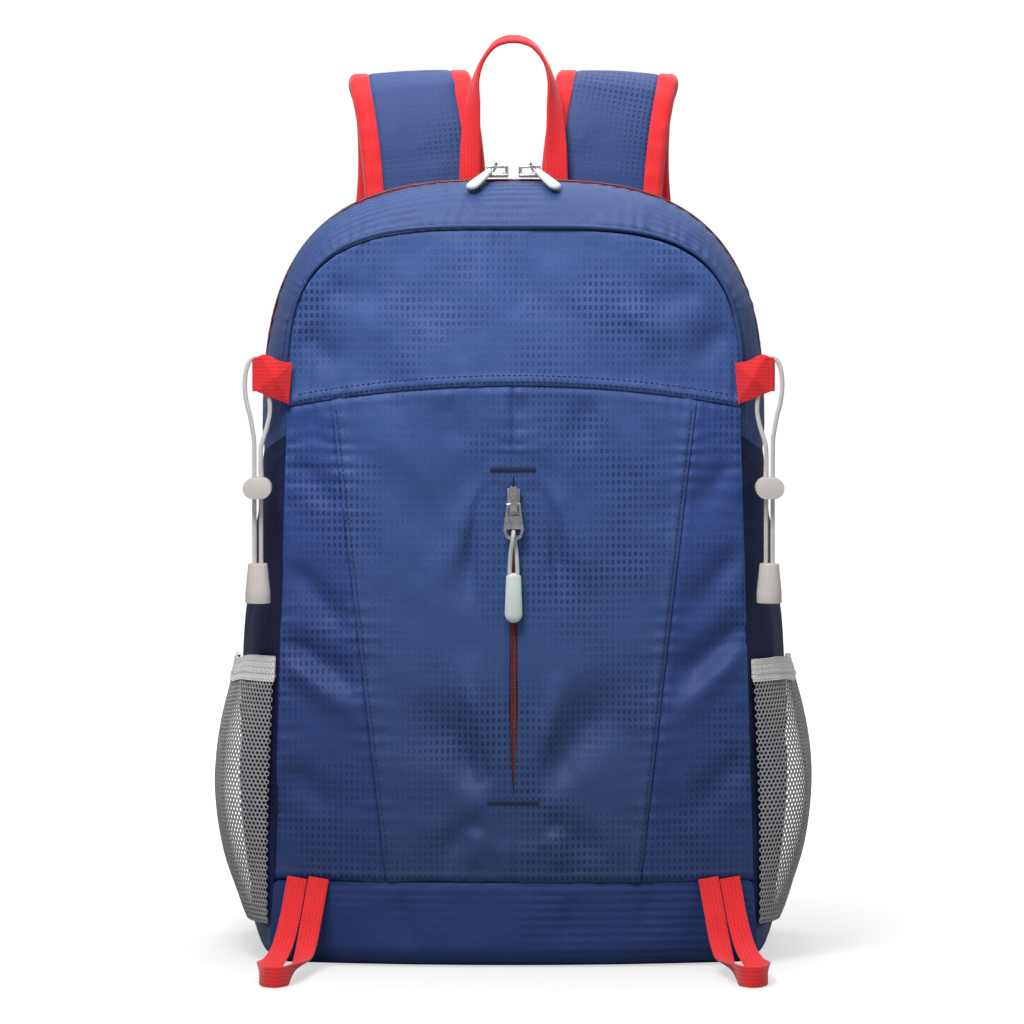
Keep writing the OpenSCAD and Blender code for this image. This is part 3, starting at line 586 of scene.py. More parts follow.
def front_relief(x, z):
    """How far the cloth of the front stands out of its plain form."""
    v = (z - LOW_Z) / 289.5
    cross = z - cross_seam_z(x)
    side = np.abs(x) - side_seam_x(v)
    side = np.where(cross > 0, 99, side)
    foot = z - LOW_Z
    edge = front_half(z) - np.abs(x)
    arch_gap = np.where(z > 300, (arch_z(x) - z), 99)
    middle = np.where((z > SLIT_HIGH + 4) & (cross < 0) | (z < SLIT_LOW - 4),
                      np.abs(x), 99)
    out = np.zeros_like(x, dtype=float)
    for gap, run, depth in ((cross, x, 1.3), (side, z, 1.1), (foot, x, 1.2),
                            (middle, z, 0.8)):
        out -= depth * bump(gap, 1.3)
        out += 0.45 * bump(np.abs(gap) - 4.2, 2.0) + ruck(gap, run)
    rim = np.minimum(edge, arch_gap)
    out += ruck(rim, np.where(z > 330, x, z), 0.6, 11)
    for a, b, width, height in CREASES:
        out += fold(x, z, a, b, 1.3 * width, 2.3 * height)
    out += 3.0 * grain(x / 75 + 3.3, z / 85, 11) + 2.0 * grain(x / 29 + z / 70, z / 44, 12)
    out += 0.6 * grain(x / 12 + z / 31, z / 19, 13)
    # Nothing stands out where the pocket's slider and pull lie on the cloth.
    calm = ease((np.abs(x) - 8) / 16) + ease((z - 292) / 12) + ease((78 - z) / 12)
    out = np.where(out > 0, out * np.clip(calm, 0, 1), out)
    # Rims turn in to their seams.
    out -= 0.8 * bump(rim, 1.6)
    # The zip tape behind the slit holds the cloth up.
    taped = ease((26 - np.abs(x)) / 8) * ease((310 - z) / 10) * ease((z - 80) / 10)
    out = np.where(out < -1.8, lerp(out, -1.8, taped), out)
    return out * ease((rim + 1.5) / 4)


def front_cloth(x, z, lap=None):
    """The front's cloth. lap is the way to an edge that is turned under and sewn down
    on its neighbour, so it stands proud."""
    p = front_at(x, z)
    p[..., 1] -= front_relief(x, z)
    if lap is not None:
        p[..., 1] -= 1.2 * np.exp(-(np.maximum(lap, 0) / 5) ** 2)
    return p


# ---------------------------------------------------------------- free cords

OUTER_ROUTE = [
    (147, -81.3, 346), (147.3, -81.5, 352.5), (149.2, -81.9, 355.6),
    (152.6, -82.3, 354), (155, -82.7, 348), (155.8, -83, 339), (154.8, -83.4, 330),
    (152.8, -83.8, 322), (151.2, -84, 313), (150.4, -84, 305), (150.4, -84, 270),
    (150.4, -84, 232)]
INNER_ROUTE = [
    (143, -81.3, 344), (142, -81.3, 334), (141.4, -81.5, 328), (141.6, -82, 322),
    (143.4, -83, 314), (145.6, -83.7, 307), (146.6, -84, 300), (146.6, -84, 270),
    (146.6, -84, 232)]
PULL_ROUTE = [
    (-2.3, -94, 229), (-2.1, -94.2, 236), (-1.6, -95, 243), (-0.8, -96.2, 248.6),
    (-0.2, -96.2, 252.9), (0, -94, 255), (0.2, -91.8, 252.9), (0.8, -91.8, 248.6),
    (1.6, -92.8, 243), (2.1, -93.8, 236), (2.3, -94, 229)]
CORD_DIA, PULL_DIA = 2.6, 2.5


def rope(name, route, steps, diameter, finish, node, body="bag"):
    path = catmull(route, steps)
    side = np.cross(np.gradient(path, axis=0), [0.3, 1, 0.1])
    obj = sweep(name, path, side, circle(diameter, 14), finish, [node], body)
    return obj, path


for side_name, s in SIDES.items():
    mirror = np.array([s, 1, 1])
    for strand, route, steps in (("outer", OUTER_ROUTE, 90), ("inner", INNER_ROUTE, 50)):
        node = f"bungee_{strand}_{side_name}"
        obj, path = rope(f"cord.{strand}.{side_name}", np.array(route) * mirror, steps,
                         CORD_DIA, CORD, node)

obj, path = rope("pull.cord", PULL_ROUTE, 80, PULL_DIA, PULL_CORD,
                 "pocket_pull_cord", "pocket_pull")


# ---------------------------------------------------------------- front panels

def grid(rows, cols):
    """Shares from 0 to 1 up the rows and along the columns."""
    return np.meshgrid(np.linspace(0, 1, rows), np.linspace(0, 1, cols), indexing="ij")


def top_panel():
    """The panel over the cross seam, whose lower edge is turned under and sewn twice."""
    v, b = grid(76, 190)
    reach = SHOULDER_W[0] - 1.4
    x = reach * np.sin((b - 0.5) * math.pi)
    z = lerp(cross_seam_z(x) + 0.1, arch_z(x, 1.0), v)
    slab("front.top", front_cloth(x, z, z - cross_seam_z(x)), 1.4, x, z, NAVY,
         ["front_top_panel"])
    x = np.linspace(-127, 127, 300)
    for k, off in enumerate((2.2, 6.0)):
        z = cross_seam_z(x) + off
        stitches(f"stitches.cross.{k}", front_cloth(x, z, 0 * x + off), (0, -1, 0),
                 "ripstop", NAVY_THREAD)


def slit_half(z):
    """Half the slit's gap: it opens widest below the pull."""
    gap = np.interp(z, (SLIT_LOW, 116, 150, 200, 225, 275, SLIT_HIGH),
                    (0, 1.0, 2.4, 2.1, 1.2, 1.2, 0))
    return np.where((z <= SLIT_LOW) | (z >= SLIT_HIGH), 0, gap)


def centre_panel(side_name, s):
    """One half of the middle, from the slit to the side seam."""
    v, u = grid(196, 66)
    inner = slit_half(lerp(LOW_Z, cross_seam_z(0), v))
    x = lerp(inner, side_seam_x(v), u)
    z = lerp(LOW_Z, cross_seam_z(x), v)
    p = front_cloth(s * x, z, side_seam_x(v) - x)
    # The slit's lips roll inwards.
    lip = (inner > 0) * bump(x - inner, 1.5)
    p[..., 1] += 1.3 * lip * ease(inner / 1.2)
    x = s * x
    if s < 0:
        p, x, z = p[:, ::-1], x[:, ::-1], z[:, ::-1]
    slab("front.centre." + side_name, p, 1.2, x, z, NAVY,
         ["front_centre_" + side_name])
    v = np.linspace(0.02, 0.985, 300)
    x, z = side_seam_x(v) - 2.2, lerp(LOW_Z, cross_seam_z(side_seam_x(v)), v)
    stitches("stitches.centre." + side_name, front_cloth(s * x, z, 0 * x + 2.2),
             (0, -1, 0), "ripstop", NAVY_THREAD)


def side_front(side_name, s):
    v, u = grid(190, 40)
    reach = front_half(lerp(LOW_Z, 326, v)) - 0.7
    x = lerp(side_seam_x(v), reach, u)
    z = lerp(LOW_Z, cross_seam_z(x), v)
    p = front_cloth(s * x, z)
    x = s * x
    if s < 0:
        p, x, z = p[:, ::-1], x[:, ::-1], z[:, ::-1]
    slab("front.side." + side_name, p, 1.4, x, z, NAVY_SIDE_SHADED,
         ["front_side_" + side_name])


top_panel()
for side_name, s in SIDES.items():
    centre_panel(side_name, s)
    side_front(side_name, s)


# ---------------------------------------------------------------- gusset and sides

def push(p, amount):
    """Moves a grid of points along its own outward normals."""
    n = unit(np.cross(np.gradient(p, axis=1), np.gradient(p, axis=0)))
    return p + n * amount[..., None]


def gusset(name, q0, q1, cols, rows, height, finish, node, thick=1.6):
    """A band of the wrap over the arch, from q0 to q1. height gives its relief from the
    way along the arch, the way across the band and the band's width."""
    t, total = even_arch(rows)
    q = np.linspace(q0, q1, cols)
    tt, qq = np.meshgrid(t, q, indexing="ij")
    p = arch(qq, tt)
    run = np.broadcast_to(np.linspace(0, total, rows + 1)[:, None], tt.shape)
    width = run_length(p[rows // 2])[-1]
    off = np.broadcast_to(np.linspace(0, width, cols)[None], tt.shape)
    ends = ease(np.minimum(run, total - run) / 14)
    p = push(p, height(run, off, width) * ends)
    slab(name, p, thick, off, run, finish, [node])


def band_relief(run, off, width):
    """Puckers and slack of a gusset between its two seams."""
    near = np.minimum(off, width - off)
    out = -0.6 * bump(off, 2) - 0.9 * bump(width - off, 1.6)
    out += ruck(near, run, 0.6, 10) + 0.5 * bump(near - 4, 2.2)
    out += 1.1 * grain(run / 48, off / 30, 21) + 0.5 * grain(run / 17, off / 26, 22)
    return out * ease((near + 2) / 4)


def quiet_band(run, off, width):
    """The gusset stays low at the top, where the sliders and pulls lie on it."""
    out = band_relief(run, off, width)
    middle = np.abs(run - run.max() / 2)
    return np.where(out > 0, out * ease((middle - 34) / 22), out)


gusset("gusset.front", 0.0, 0.9, 30, 420, quiet_band, NAVY_TURNED,
       "zip_gusset_front")
gusset("gusset.rear", 1.065, 2, 60, 360, band_relief, NAVY_SHADED,
       "zip_gusset_rear")
gusset("zip.tape", 0.915, 1.055, 10, 420, lambda r, o, w: -0.25 + 0 * r,
       RED_TAPE, "main_zip_tape", 1.2)


def coil_teeth(run, off, width):
    """Coil teeth every 1.3 mm with the parting line between the two rows."""
    tooth = 0.5 + 0.5 * np.cos(2 * math.pi * run / 1.3)
    part = bump(off - width / 2, 0.45)
    round_it = np.sqrt(np.clip(1 - (2 * off / width - 1) ** 2, 0, 1))
    return 0.25 + 1.05 * round_it * (0.62 + 0.38 * tooth) - 0.55 * part


gusset("zip.coil", 0.955, 1.02, 12, 2600, coil_teeth, COIL, "main_zip_coil",
       0.5)


def side_relief(y, z):
    """Folds of the side wall, and its belly."""
    out = 1.6 * grain(y / 60, z / 70, 31) + 0.8 * grain(y / 24, z / 33, 32)
    for a, b, width, height in (
            ((-60, 290), (20, 250), 8, -2.2), ((-50, 262), (50, 236), 8, 1.8),
            ((60, 290), (0, 232), 7, -2.0), ((-66, 230), (-20, 196), 7, -1.8),
            ((-72, 140), (40, 120), 9, -1.6)):
        out += fold(y, z, a, b, width, height)
    near = np.minimum(np.minimum(y + 76, 72 - y), 300 - z)
    out += ruck(near, z + y, 0.5, 9)
    seam = np.minimum(y + 76, 72 - y)
    out = out * ease(near / 5) - 0.9 * bump(seam, 1.5) * ease((300 - z) / 14)
    # A full bag's sides belly out, most of all behind the mesh.
    full = np.sin(math.pi * np.clip((z - 24) / 276, 0, 1) ** 0.75)
    return np.minimum(out, 1.6) + 13 * full * np.cos(math.pi * np.clip(y / 150, -0.5, 0.5)) ** 1.4


def side_wall(side_name, s):
    rows, cols = 130, 80
    r, q = np.meshgrid(np.linspace(0, 0.5, rows), np.linspace(0, 2, cols),
                       indexing="ij")
    p = wrap(q, r)
    z, y = p[..., 2], p[..., 1]
    p = push(p, side_relief(y, z))
    if s < 0:
        p = p[:, ::-1] * np.array([-1, 1, 1])
        y, z = y[:, ::-1], z[:, ::-1]
    slab("side." + side_name, p, 1.4, y, z, NAVY_SHADED,
         ["side_panel_" + side_name])


for side_name, s in SIDES.items():
    side_wall(side_name, s)


def piping():
    b = np.linspace(-math.pi / 2, math.pi / 2, 261)
    x = 132.6 * np.sin(b)
    path = np.stack([x, 0 * x + LINE_Y[0] - 0.8, arch_z(x) + 1.6], 1)
    sweep("piping", path, (0, 1, 0), circle(2.6, 10), NAVY_TURNED,
          ["arch_piping"])


piping()


# ---------------------------------------------------------------- base

FRONT_COUNT, BACK_COUNT = 150, 60


def outline(z, inset):
    """The bag's outline at a height, counter-clockwise from the front left corner."""
    f, m, b = (line_side(k, z) - inset for k in range(3))
    fy, by = LINE_Y[0] + inset, LINE_Y[2] - inset
    x = np.linspace(-f, f, FRONT_COUNT)
    front = np.stack([x, fy - CROWN * (1 - (x / f) ** 2)], 1)
    bend = catmull([(f, fy), (lerp(f, m, 0.6), fy + 14), (m, LINE_Y[1]),
                    (lerp(m, b, 0.5), 15), (b - 1.5, by - 5), (b - 5, by)], 40)[1:]
    back = np.linspace(b - 6, -b + 6, BACK_COUNT)
    back = np.stack([back, 0 * back + by], 1)
    left = bend[::-1] * (-1, 1)
    return np.concatenate([front, bend, back, left])


def base():
    """A tray: a flat floor, a rounded edge and a wall that is high only at the front."""
    rings, thick = [], 1.6
    count = len(outline(20, 0))
    is_front = np.arange(count) < FRONT_COUNT
    corner_x = line_side(0, 40.0)

    def ring(z, inset, rim=None):
        xy = outline(z, inset)
        zz = np.full(count, float(z))
        if rim is not None:
            flat = np.clip((np.abs(xy[:, 0]) - (corner_x - 1.2)) / 1.2, 0, 1)
            zz = np.where(is_front, lerp(LOW_Z - 0.3, FLOOR_Z - 0.2, flat) * rim
                          + z * (1 - rim), lerp(z, FLOOR_Z - 0.2, rim))
        return np.concatenate([xy, zz[:, None]], 1)

    turns = 12
    for a in np.linspace(90, 0, turns):
        turn = math.radians(a)
        rings.append(ring(BASE_R * (1 - math.sin(turn)), BASE_R * (1 - math.cos(turn))))
    for rim in np.linspace(0, 1, 18)[1:]:
        rings.append(ring(BASE_R, 0, rim))
    p = np.array(rings)
    x, z = p[..., 0], p[..., 2]
    front = is_front[None] * ease((110 - np.abs(x)) / 40) * ease(z / 12)
    out = 1.0 * grain(x / 40, z / 22, 41) + 0.5 * grain(x / 12, z / 30, 42)
    for a, b, width, height in (
            ((-70, 46), (-58, 6), 7, -1.6), ((-30, 48), (-24, 8), 6, -1.4),
            ((36, 48), (30, 6), 7, -1.6), ((82, 46), (70, 8), 6, -1.5),
            ((10, 48), (8, 14), 5, 1.0), ((-96, 44), (-88, 10), 6, 1.0)):
        out += fold(x, z, a, b, width, height)
    out = out * ease((LOW_Z - z) / 9) + ruck(LOW_Z - z, x, 0.5, 8)
    out -= 1.0 * bump(LOW_Z - z, 1.6)
    p[..., 1] -= front * out
    inner = p.copy()
    shrink = p * np.array([1 - thick / 150, 1 - thick / 85, 1])
    inner[..., :2] = shrink[..., :2]
    inner[..., 2] = np.maximum(p[..., 2], thick)
    n = len(p)
    points = np.concatenate([p.reshape(-1, 3), inner[::-1].reshape(-1, 3)])
    loops = 2 * n
    faces, uv = [], []
    run = run_length(np.concatenate([p[turns - 1], p[turns - 1][:1]]))
    climb = run_length(np.array([r[FRONT_COUNT // 2] for r in rings]))
    high = np.concatenate([climb, climb[::-1] + 400])
    for i in range(loops - 1):
        for j in range(count):
            k = (j + 1) % count
            faces.append([i * count + j, i * count + k, (i + 1) * count + k,
                          (i + 1) * count + j])
            uv += [(high[i], run[j]), (high[i], run[j + 1]), (high[i + 1], run[j + 1]),
                   (high[i + 1], run[j])]
    # Both ends of the stack are flat floors, closed by one face each.
    faces.append(list(range(count))[::-1])
    uv += [(points[k][1], points[k][0]) for k in faces[-1]]
    faces.append([(loops - 1) * count + j for j in range(count)])
    uv += [(points[k][1], points[k][0]) for k in faces[-1]]
    piece("base", points, faces, uv, "bag", NAVY_BASE, ["base_panel"], 60)


base()


# ---------------------------------------------------------------- mesh pockets

def bulge(z):
    """How far a mesh pocket bags out at its middle."""
    return BULGE * np.sin(math.pi * np.clip((z - 14) / 216, 0, 1) ** 0.8)


def pocket_at(q, z, proud):
    """A point on the right pocket's plain form, proud of it by a distance."""
    p = wrap(q, (z - FLOOR_Z) / (SHOULDER_Z[0] - FLOOR_Z) / 2)
    p[..., 0] += 0.3 + bulge(z) * np.sin(math.pi / 2 * np.clip(q, 0, 1)) ** 0.7 + proud
    p[..., 2] = z
    return p


def pocket_shape(s, q, z, proud=0.9):
    """The mesh bags out softly, with slack folds that run down from the elastic."""
    p = pocket_at(q, z, proud)
    y = p[..., 1]
    soft = ease((z - 24) / 30) * ease(q / 0.25) * ease((2 - q) / 0.25)
    slack = 1.2 * np.sin(y / 7.5 + 2.5 * grain(y / 30, z / 60, 61 + s)) * bump(
        z - 172, 45) + 1.6 * grain(y / 34, z / 50, 63 + s)
    p[..., 0] += soft * slack * 0.8
    p[..., 0] *= s
    # The mouth dips towards the back.
    p[..., 2] -= (6 + 9 * ease((q - 0.4) / 1.6)) * ease((z - 70) / 116)
    return p


def harden(obj, kind, **settings):
    """Adds a modifier and applies it."""
    bpy.ops.object.select_all(action="DESELECT")
    bpy.context.view_layer.objects.active = obj
    obj.select_set(True)
    mod = obj.modifiers.new(kind.lower(), kind)
    for key, value in settings.items():
        setattr(mod, key, value)
    bpy.ops.object.modifier_apply(modifier=mod.name)


def mesh_pocket(side_name, s):
    """Knitted mesh with hexagonal holes 2 mm across, every 3 mm."""
    pitch, hole = 3.0, 0.64
    width, low, high = 167.0, 24.0, MOUTH_Z - BAND_H + 1.5
    cols, rows = int(width / pitch), int((high - low) / (pitch * 0.866))
    turn = np.radians(np.arange(6) * 60 + 30)
    hexagon = np.stack([np.cos(turn), np.sin(turn)], 1)
    outer_r = pitch / math.sqrt(3)
    spots, faces, points = {}, [], []

    def spot(x, z):
        key = (round(x * 20), round(z * 20))
        if key not in spots:
            spots[key] = len(points)
            points.append((x, z))
        return spots[key]

    for row in range(rows):
        for col in range(cols - row % 2):
            x = pitch * (col + 0.5 + 0.5 * (row % 2))
            z = low + pitch * 0.866 * row + outer_r
            rim = [spot(x + outer_r * c, z + outer_r * d) for c, d in hexagon]
            first = len(points)
            points.extend((x + outer_r * hole * c, z + outer_r * hole * d)
                          for c, d in hexagon)
            for k in range(6):
                n = (k + 1) % 6
                faces.append([rim[k], rim[n], first + n, first + k])
    flat = np.array(points)
    q_of = np.linspace(0.02, 1.98, 400)
    middle = pocket_at(q_of, np.full(400, 110.0), 0)
    length = run_length(middle)
    share = np.clip(flat[:, 0] / width, 0, 1) * length[-1]
    q = np.interp(share, length, q_of)
    z = np.clip(flat[:, 1], low, high)
    p = pocket_shape(s, q, z)
    if s < 0:
        faces = [f[::-1] for f in faces]
    uv = flat[np.array(faces).ravel()]
    obj = piece("mesh." + side_name, p, faces, uv, "bag", MESH_YARN,
                ["mesh_pocket_" + side_name], 80)
    harden(obj, "SOLIDIFY", thickness=0.7 * MM, offset=0)


def elastic_band(side_name, s):
    rows, cols = 14, 160
    z, q = np.meshgrid(np.linspace(MOUTH_Z - BAND_H, MOUTH_Z, rows),
                       np.linspace(0.0, 2.0, cols), indexing="ij")
    p = pocket_shape(s, q, z, 2.0)
    y = p[..., 1]
    p[..., 0] += s * (0.5 * np.sin(y / 2.1 + 1.5 * grain(y / 9, z / 20, 66)) *
                      bump(z - (MOUTH_Z - BAND_H), 6) + 0.35 * bump(z - MOUTH_Z, 1.5)
                      - 0.5 * bump(z - (MOUTH_Z - BAND_H + 3), 0.8))
    p[..., 2] += 1.2 * grain(y / 22, 0 * y, 67 + s) * ease((z - 172) / 14)
    if s < 0:
        p, y, z = p[:, ::-1], y[:, ::-1], z[:, ::-1]
    slab("elastic." + side_name, p, 1.8, z, y, ELASTIC,
         ["pocket_elastic_" + side_name])


for side_name, s in SIDES.items():
    mesh_pocket(side_name, s)
    elastic_band(side_name, s)


# ---------------------------------------------------------------- webbing

def side_tab(side_name, s):
    """Red webbing that leaves the front seam, folds round the bungee cord and comes back
    behind it. The cord's pull pinches its front into a low point with four creases."""
    v, u = grid(40, 61)
    high = lerp(352.5, 353.5, u) + 4 * bump(u - 0.75, 0.3)
    z = lerp(lerp(328.5, 336, u), high, v)
    x = lerp(lerp(130.5, 128.5, v), 149.3, u)
    y = lerp(-80.4, -83.7, ease(u / 0.5))
    square = np.maximum(np.abs(u - 0.46) / 0.5, np.abs(v - 0.52) / 0.52)
    y = y - 3.4 * np.clip(1 - square, 0, 1) ** 0.9
    front = np.stack([x, y, z], -1)
    turn = np.radians(np.linspace(-75, 75, 9))[None]
    edge, reach = front[:, -1:], np.ones((40, 1))
    curl = np.stack([edge[..., 0] + 2.3 * np.cos(turn), -81.4 + 2.3 * np.sin(turn) * reach,
                     edge[..., 2] + 0 * turn], -1)
    back = np.stack([x[:, ::-2], -79 + 0 * x[:, ::-2], z[:, ::-2]], -1)
    p = np.concatenate([front, curl, back], 1)
    run = run_length(p[20])[None] + 0 * p[..., 0]
    height = p[..., 2]
    if s < 0:
        p, run, height = p[:, ::-1] * (-1, 1, 1), run[:, ::-1], height[:, ::-1]
    slab("tab." + side_name, p, 1.0, height, run, RED_WEBBING,
         ["side_tab_" + side_name])


GEAR_ROUTE = [
    (126, -81, 52), (127.5, -84, 44), (130, -91, 30), (134, -102, 15), (138.5, -118, 8),
    (142.5, -135, 6.6), (144.5, -151, 6.6), (142, -163, 6.6), (135.5, -167.5, 6.6),
    (129, -161, 6.6), (126.5, -147, 6.6), (124.5, -130, 6.6), (122, -112, 8.5),
    (119.5, -100, 18), (117, -92, 32), (115, -86, 44), (113.5, -83, 52)]
GEAR_SIDES = [
    (1, 0, 0), (1, 0, 0), (1, 0, 0), (1, 0, 0.1), (1, 0.1, 0.4), (0.7, 0.3, 0.8),
    (0.1, 0.3, 1), (0, 0.1, 1), (0, 0.1, 1), (0, -0.1, 1), (-0.4, -0.2, 1),
    (-0.9, -0.2, 0.8), (-1, -0.1, 0.3), (-1, 0, 0.1), (-1, 0, 0), (-1, 0, 0), (-1, 0, 0)]
HAUL_ROUTE = [
    (26.7, 76, 443), (26.7, 76.5, 455), (26.5, 78, 470), (26, 80, 485), (25.2, 82, 500),
    (24.2, 84, 512), (22.5, 85, 522), (18.5, 86, 532), (12, 86.5, 540.5), (5, 87, 544),
    (0, 87, 544.5)]
HAUL_SIDES = [
    (1, 0, 0), (1, 0, 0), (1, 0.1, 0), (1, 0.4, 0), (1, 0.9, 0), (0.5, 1, 0),
    (0.2, 1, 0), (0, 1, 0.1), (0, 1, 0.2), (0, 1, 0.3), (0, 1, 0.3)]


def belly(path, across, size, seed):
    """Slight waves along the edges of webbing."""
    run = run_length(path)[:, None]
    return size * grain(run / 11 + 9, across[None] / 6, seed)


def gear_loop(side_name, s):
    mirror = np.array([s, 1, 1])
    path, turn = catmull(GEAR_ROUTE, 150) * mirror, catmull(GEAR_SIDES, 150) * mirror
    profile = round_bar(12, 1.7)
    sweep("gear_loop." + side_name, path, turn, profile, RED_WEBBING,
          ["gear_loop_" + side_name], lift=belly(path, profile[:, 0], 0.2, 71))


def haul_loop():
    half, turn = catmull(HAUL_ROUTE, 70), catmull(HAUL_SIDES, 70)
    path = np.concatenate([half, (half * (-1, 1, 1))[-2::-1]])
    turn = np.concatenate([turn, (turn * (-1, 1, 1))[-2::-1]])
    profile = round_bar(12.6, 2.4, 1.1)
    sweep("haul_loop", path, turn, profile, RED_WEBBING, ["haul_loop"],
          lift=belly(path, profile[:, 0], 0.2, 73))


for side_name, s in SIDES.items():
    side_tab(side_name, s)
    gear_loop(side_name, s)
haul_loop()


# ---------------------------------------------------------------- shoulder straps

STRAP_ROUTE = [
    (52.5, 87, 432), (54.5, 91.5, 462), (58, 98, 492), (62, 107, 513), (64, 118, 520),
    (64, 129, 513), (60, 137, 490), (60, 142, 450), (67, 143, 400), (82, 139, 350),
    (97, 131, 300), (107, 123, 255)]
ADJUST_ROUTE = [(110, 115.5, 219), (118, 112, 170), (130, 103, 100), (141, 88.5, 56)]
STRAP_W, STRAP_T, BINDING_W = 75, 12, 12


def strap_frame(s, steps):
    """The strap's middle line, and its sideways directions, which turn as it folds over."""
    path = catmull(STRAP_ROUTE, steps)
    i = np.arange(steps + 1)
    lean = lerp(-0.04, 0.14, ease((i / steps - 0.38) / 0.14))
    sides = unit(np.stack([np.ones(steps + 1), 0 * lean, lean], 1))
    return path * (s, 1, 1), sides * (s, 1, 1)


def strap(side_name, s):
    """A padded strap and the binding round its two edges."""
    path, sides = strap_frame(s, 150)
    run = run_length(path)[:, None]
    half = STRAP_W / 2 - BINDING_W + 0.8
    x = np.linspace(-half, half, 37)
    crown = 4.6 + 1.3 * np.sqrt(np.clip(1 - (x / half) ** 2, 0, 1))
    profile = np.array([(a, -h) for a, h in zip(x, crown)]
                       + [(a, h) for a, h in zip(x[::-1], crown[::-1])])
    across = profile[:, 0][None]
    lift = 0.5 * grain(run / 26, across / 22, 81 + s) + 0.22 * grain(
        run / 8, across / 30, 82)
    lift = lift - 0.7 * bump(half - np.abs(across), 1.6)
    # Cross creases where the pad folds over at the top, by the fifth point of its route.
    fold_at = np.interp(4 / (len(STRAP_ROUTE) - 1), np.linspace(0, 1, len(run)), run[:, 0])
    for k, size in ((-14, 0.5), (-4, -0.7), (6, -0.8), (17, 0.4)):
        lift = lift + size * bump(run - fold_at - k - across * 0.05, 3.2)
    obj = sweep("strap." + side_name, path, sides, profile, STRAP,
                ["shoulder_strap_" + side_name], lift=lift)
    for edge in (-1, 1):
        c = edge * (STRAP_W - BINDING_W) / 2
        w, h = BINDING_W / 2, (STRAP_T - 1) / 2
        turn = np.linspace(-math.pi / 2, math.pi / 2, 9)
        outer = [(w - 4.2 + 4.2 * math.cos(a), h * math.sin(a)) for a in turn]
        rest = [(1, h), (-2, h), (-5, h), (-w, h - 0.5), (-w, 0.5 - h), (-5, -h),
                (-2, -h), (1, -h)]
        shape = np.array(outer + rest)
        if edge < 0:
            shape = (shape * (-1, 1))[::-1]
        wave = 0.25 * np.sin(run / 2.3 + 2 * grain(run / 9, 0 * run, 85)) + 0.3 * grain(
            run / 13, shape[:, 0][None] / 9, 84 + edge)
        sweep(
            f"binding.{side_name}.{'outer' if edge > 0 else 'inner'}",
            path + sides * c, sides, shape, RED_BINDING, (), lift=wave,
            angle=65)
    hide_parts("strap_binding_" + side_name)


def adjuster(side_name, s):
    path = catmull(ADJUST_ROUTE, 60) * (s, 1, 1)
    profile = round_bar(24, 1.7)
    sweep("strap_webbing." + side_name, path, (s, 0, 0.2), profile,
          BLACK_WEBBING, ["strap_webbing_" + side_name],
          lift=belly(path, profile[:, 0], 0.25, 87))


for side_name, s in SIDES.items():
    strap(side_name, s)
    adjuster(side_name, s)


# ---------------------------------------------------------------- back

def back_panel():
    """Spacer mesh over foam, sewn down in channels."""
    rows, cols = 240, 180
    r, u = np.meshgrid(np.linspace(0.0, 0.98, rows), np.linspace(1, -1, cols),
                       indexing="ij")
    half, z = line_xz(2, r, 4)
    x = u * half
    rim = (1 - np.abs(u)) * half
    top = TOP_Z[2] - z
    edge = np.minimum(np.minimum(rim, top), z - 22)
    out = 7.6 * np.sqrt(np.clip(1 - (1 - np.clip(edge / 13, 0, 1)) ** 2, 0, 1))
    for gap in (np.abs(x) - 38, z - 130, z - 235, z - 335):
        out = out - 4.2 * bump(gap, 4.5) * ease(edge / 16)
    out += 0.5 * grain(x / 28, z / 30, 91) * ease(edge / 12)
    p = np.stack([x, 72.2 + np.clip(out, 0.6, 8.4), z], -1)
    obj = slab("back_panel", p, 0.6, x, z, SPACER, ["back_panel"])


def corner_tab(side_name, s):
    """A folded triangle of ripstop that holds the end of the strap's webbing."""
    rows, cols = 30, 24
    v, u = grid(rows, cols)
    low = np.stack([lerp(130, 158, u), 0 * u, lerp(40, 30, u)], -1)
    high = np.stack([lerp(126, 158, u), 0 * u, lerp(54, 74, u)], -1)
    p = lerp(low, high, v[..., None])
    near = np.minimum(np.minimum(v, 1 - v), u) * 26
    y = LINE_Y[2] + 10.4 + 3.2 * np.sqrt(np.clip(near / 5, 0, 1)) + 0.4 * grain(
        u * 3, v * 4, 95 + s)
    p = np.stack([p[..., 0] * s, y, p[..., 2]], -1)
    if s > 0:
        p = p[:, ::-1]
    slab("corner_tab." + side_name, p, 3.0, p[..., 0], p[..., 2], NAVY_SHADED,
         ["corner_tab_" + side_name])


back_panel()
for side_name, s in SIDES.items():
    corner_tab(side_name, s)


# ---------------------------------------------------------------- hardware

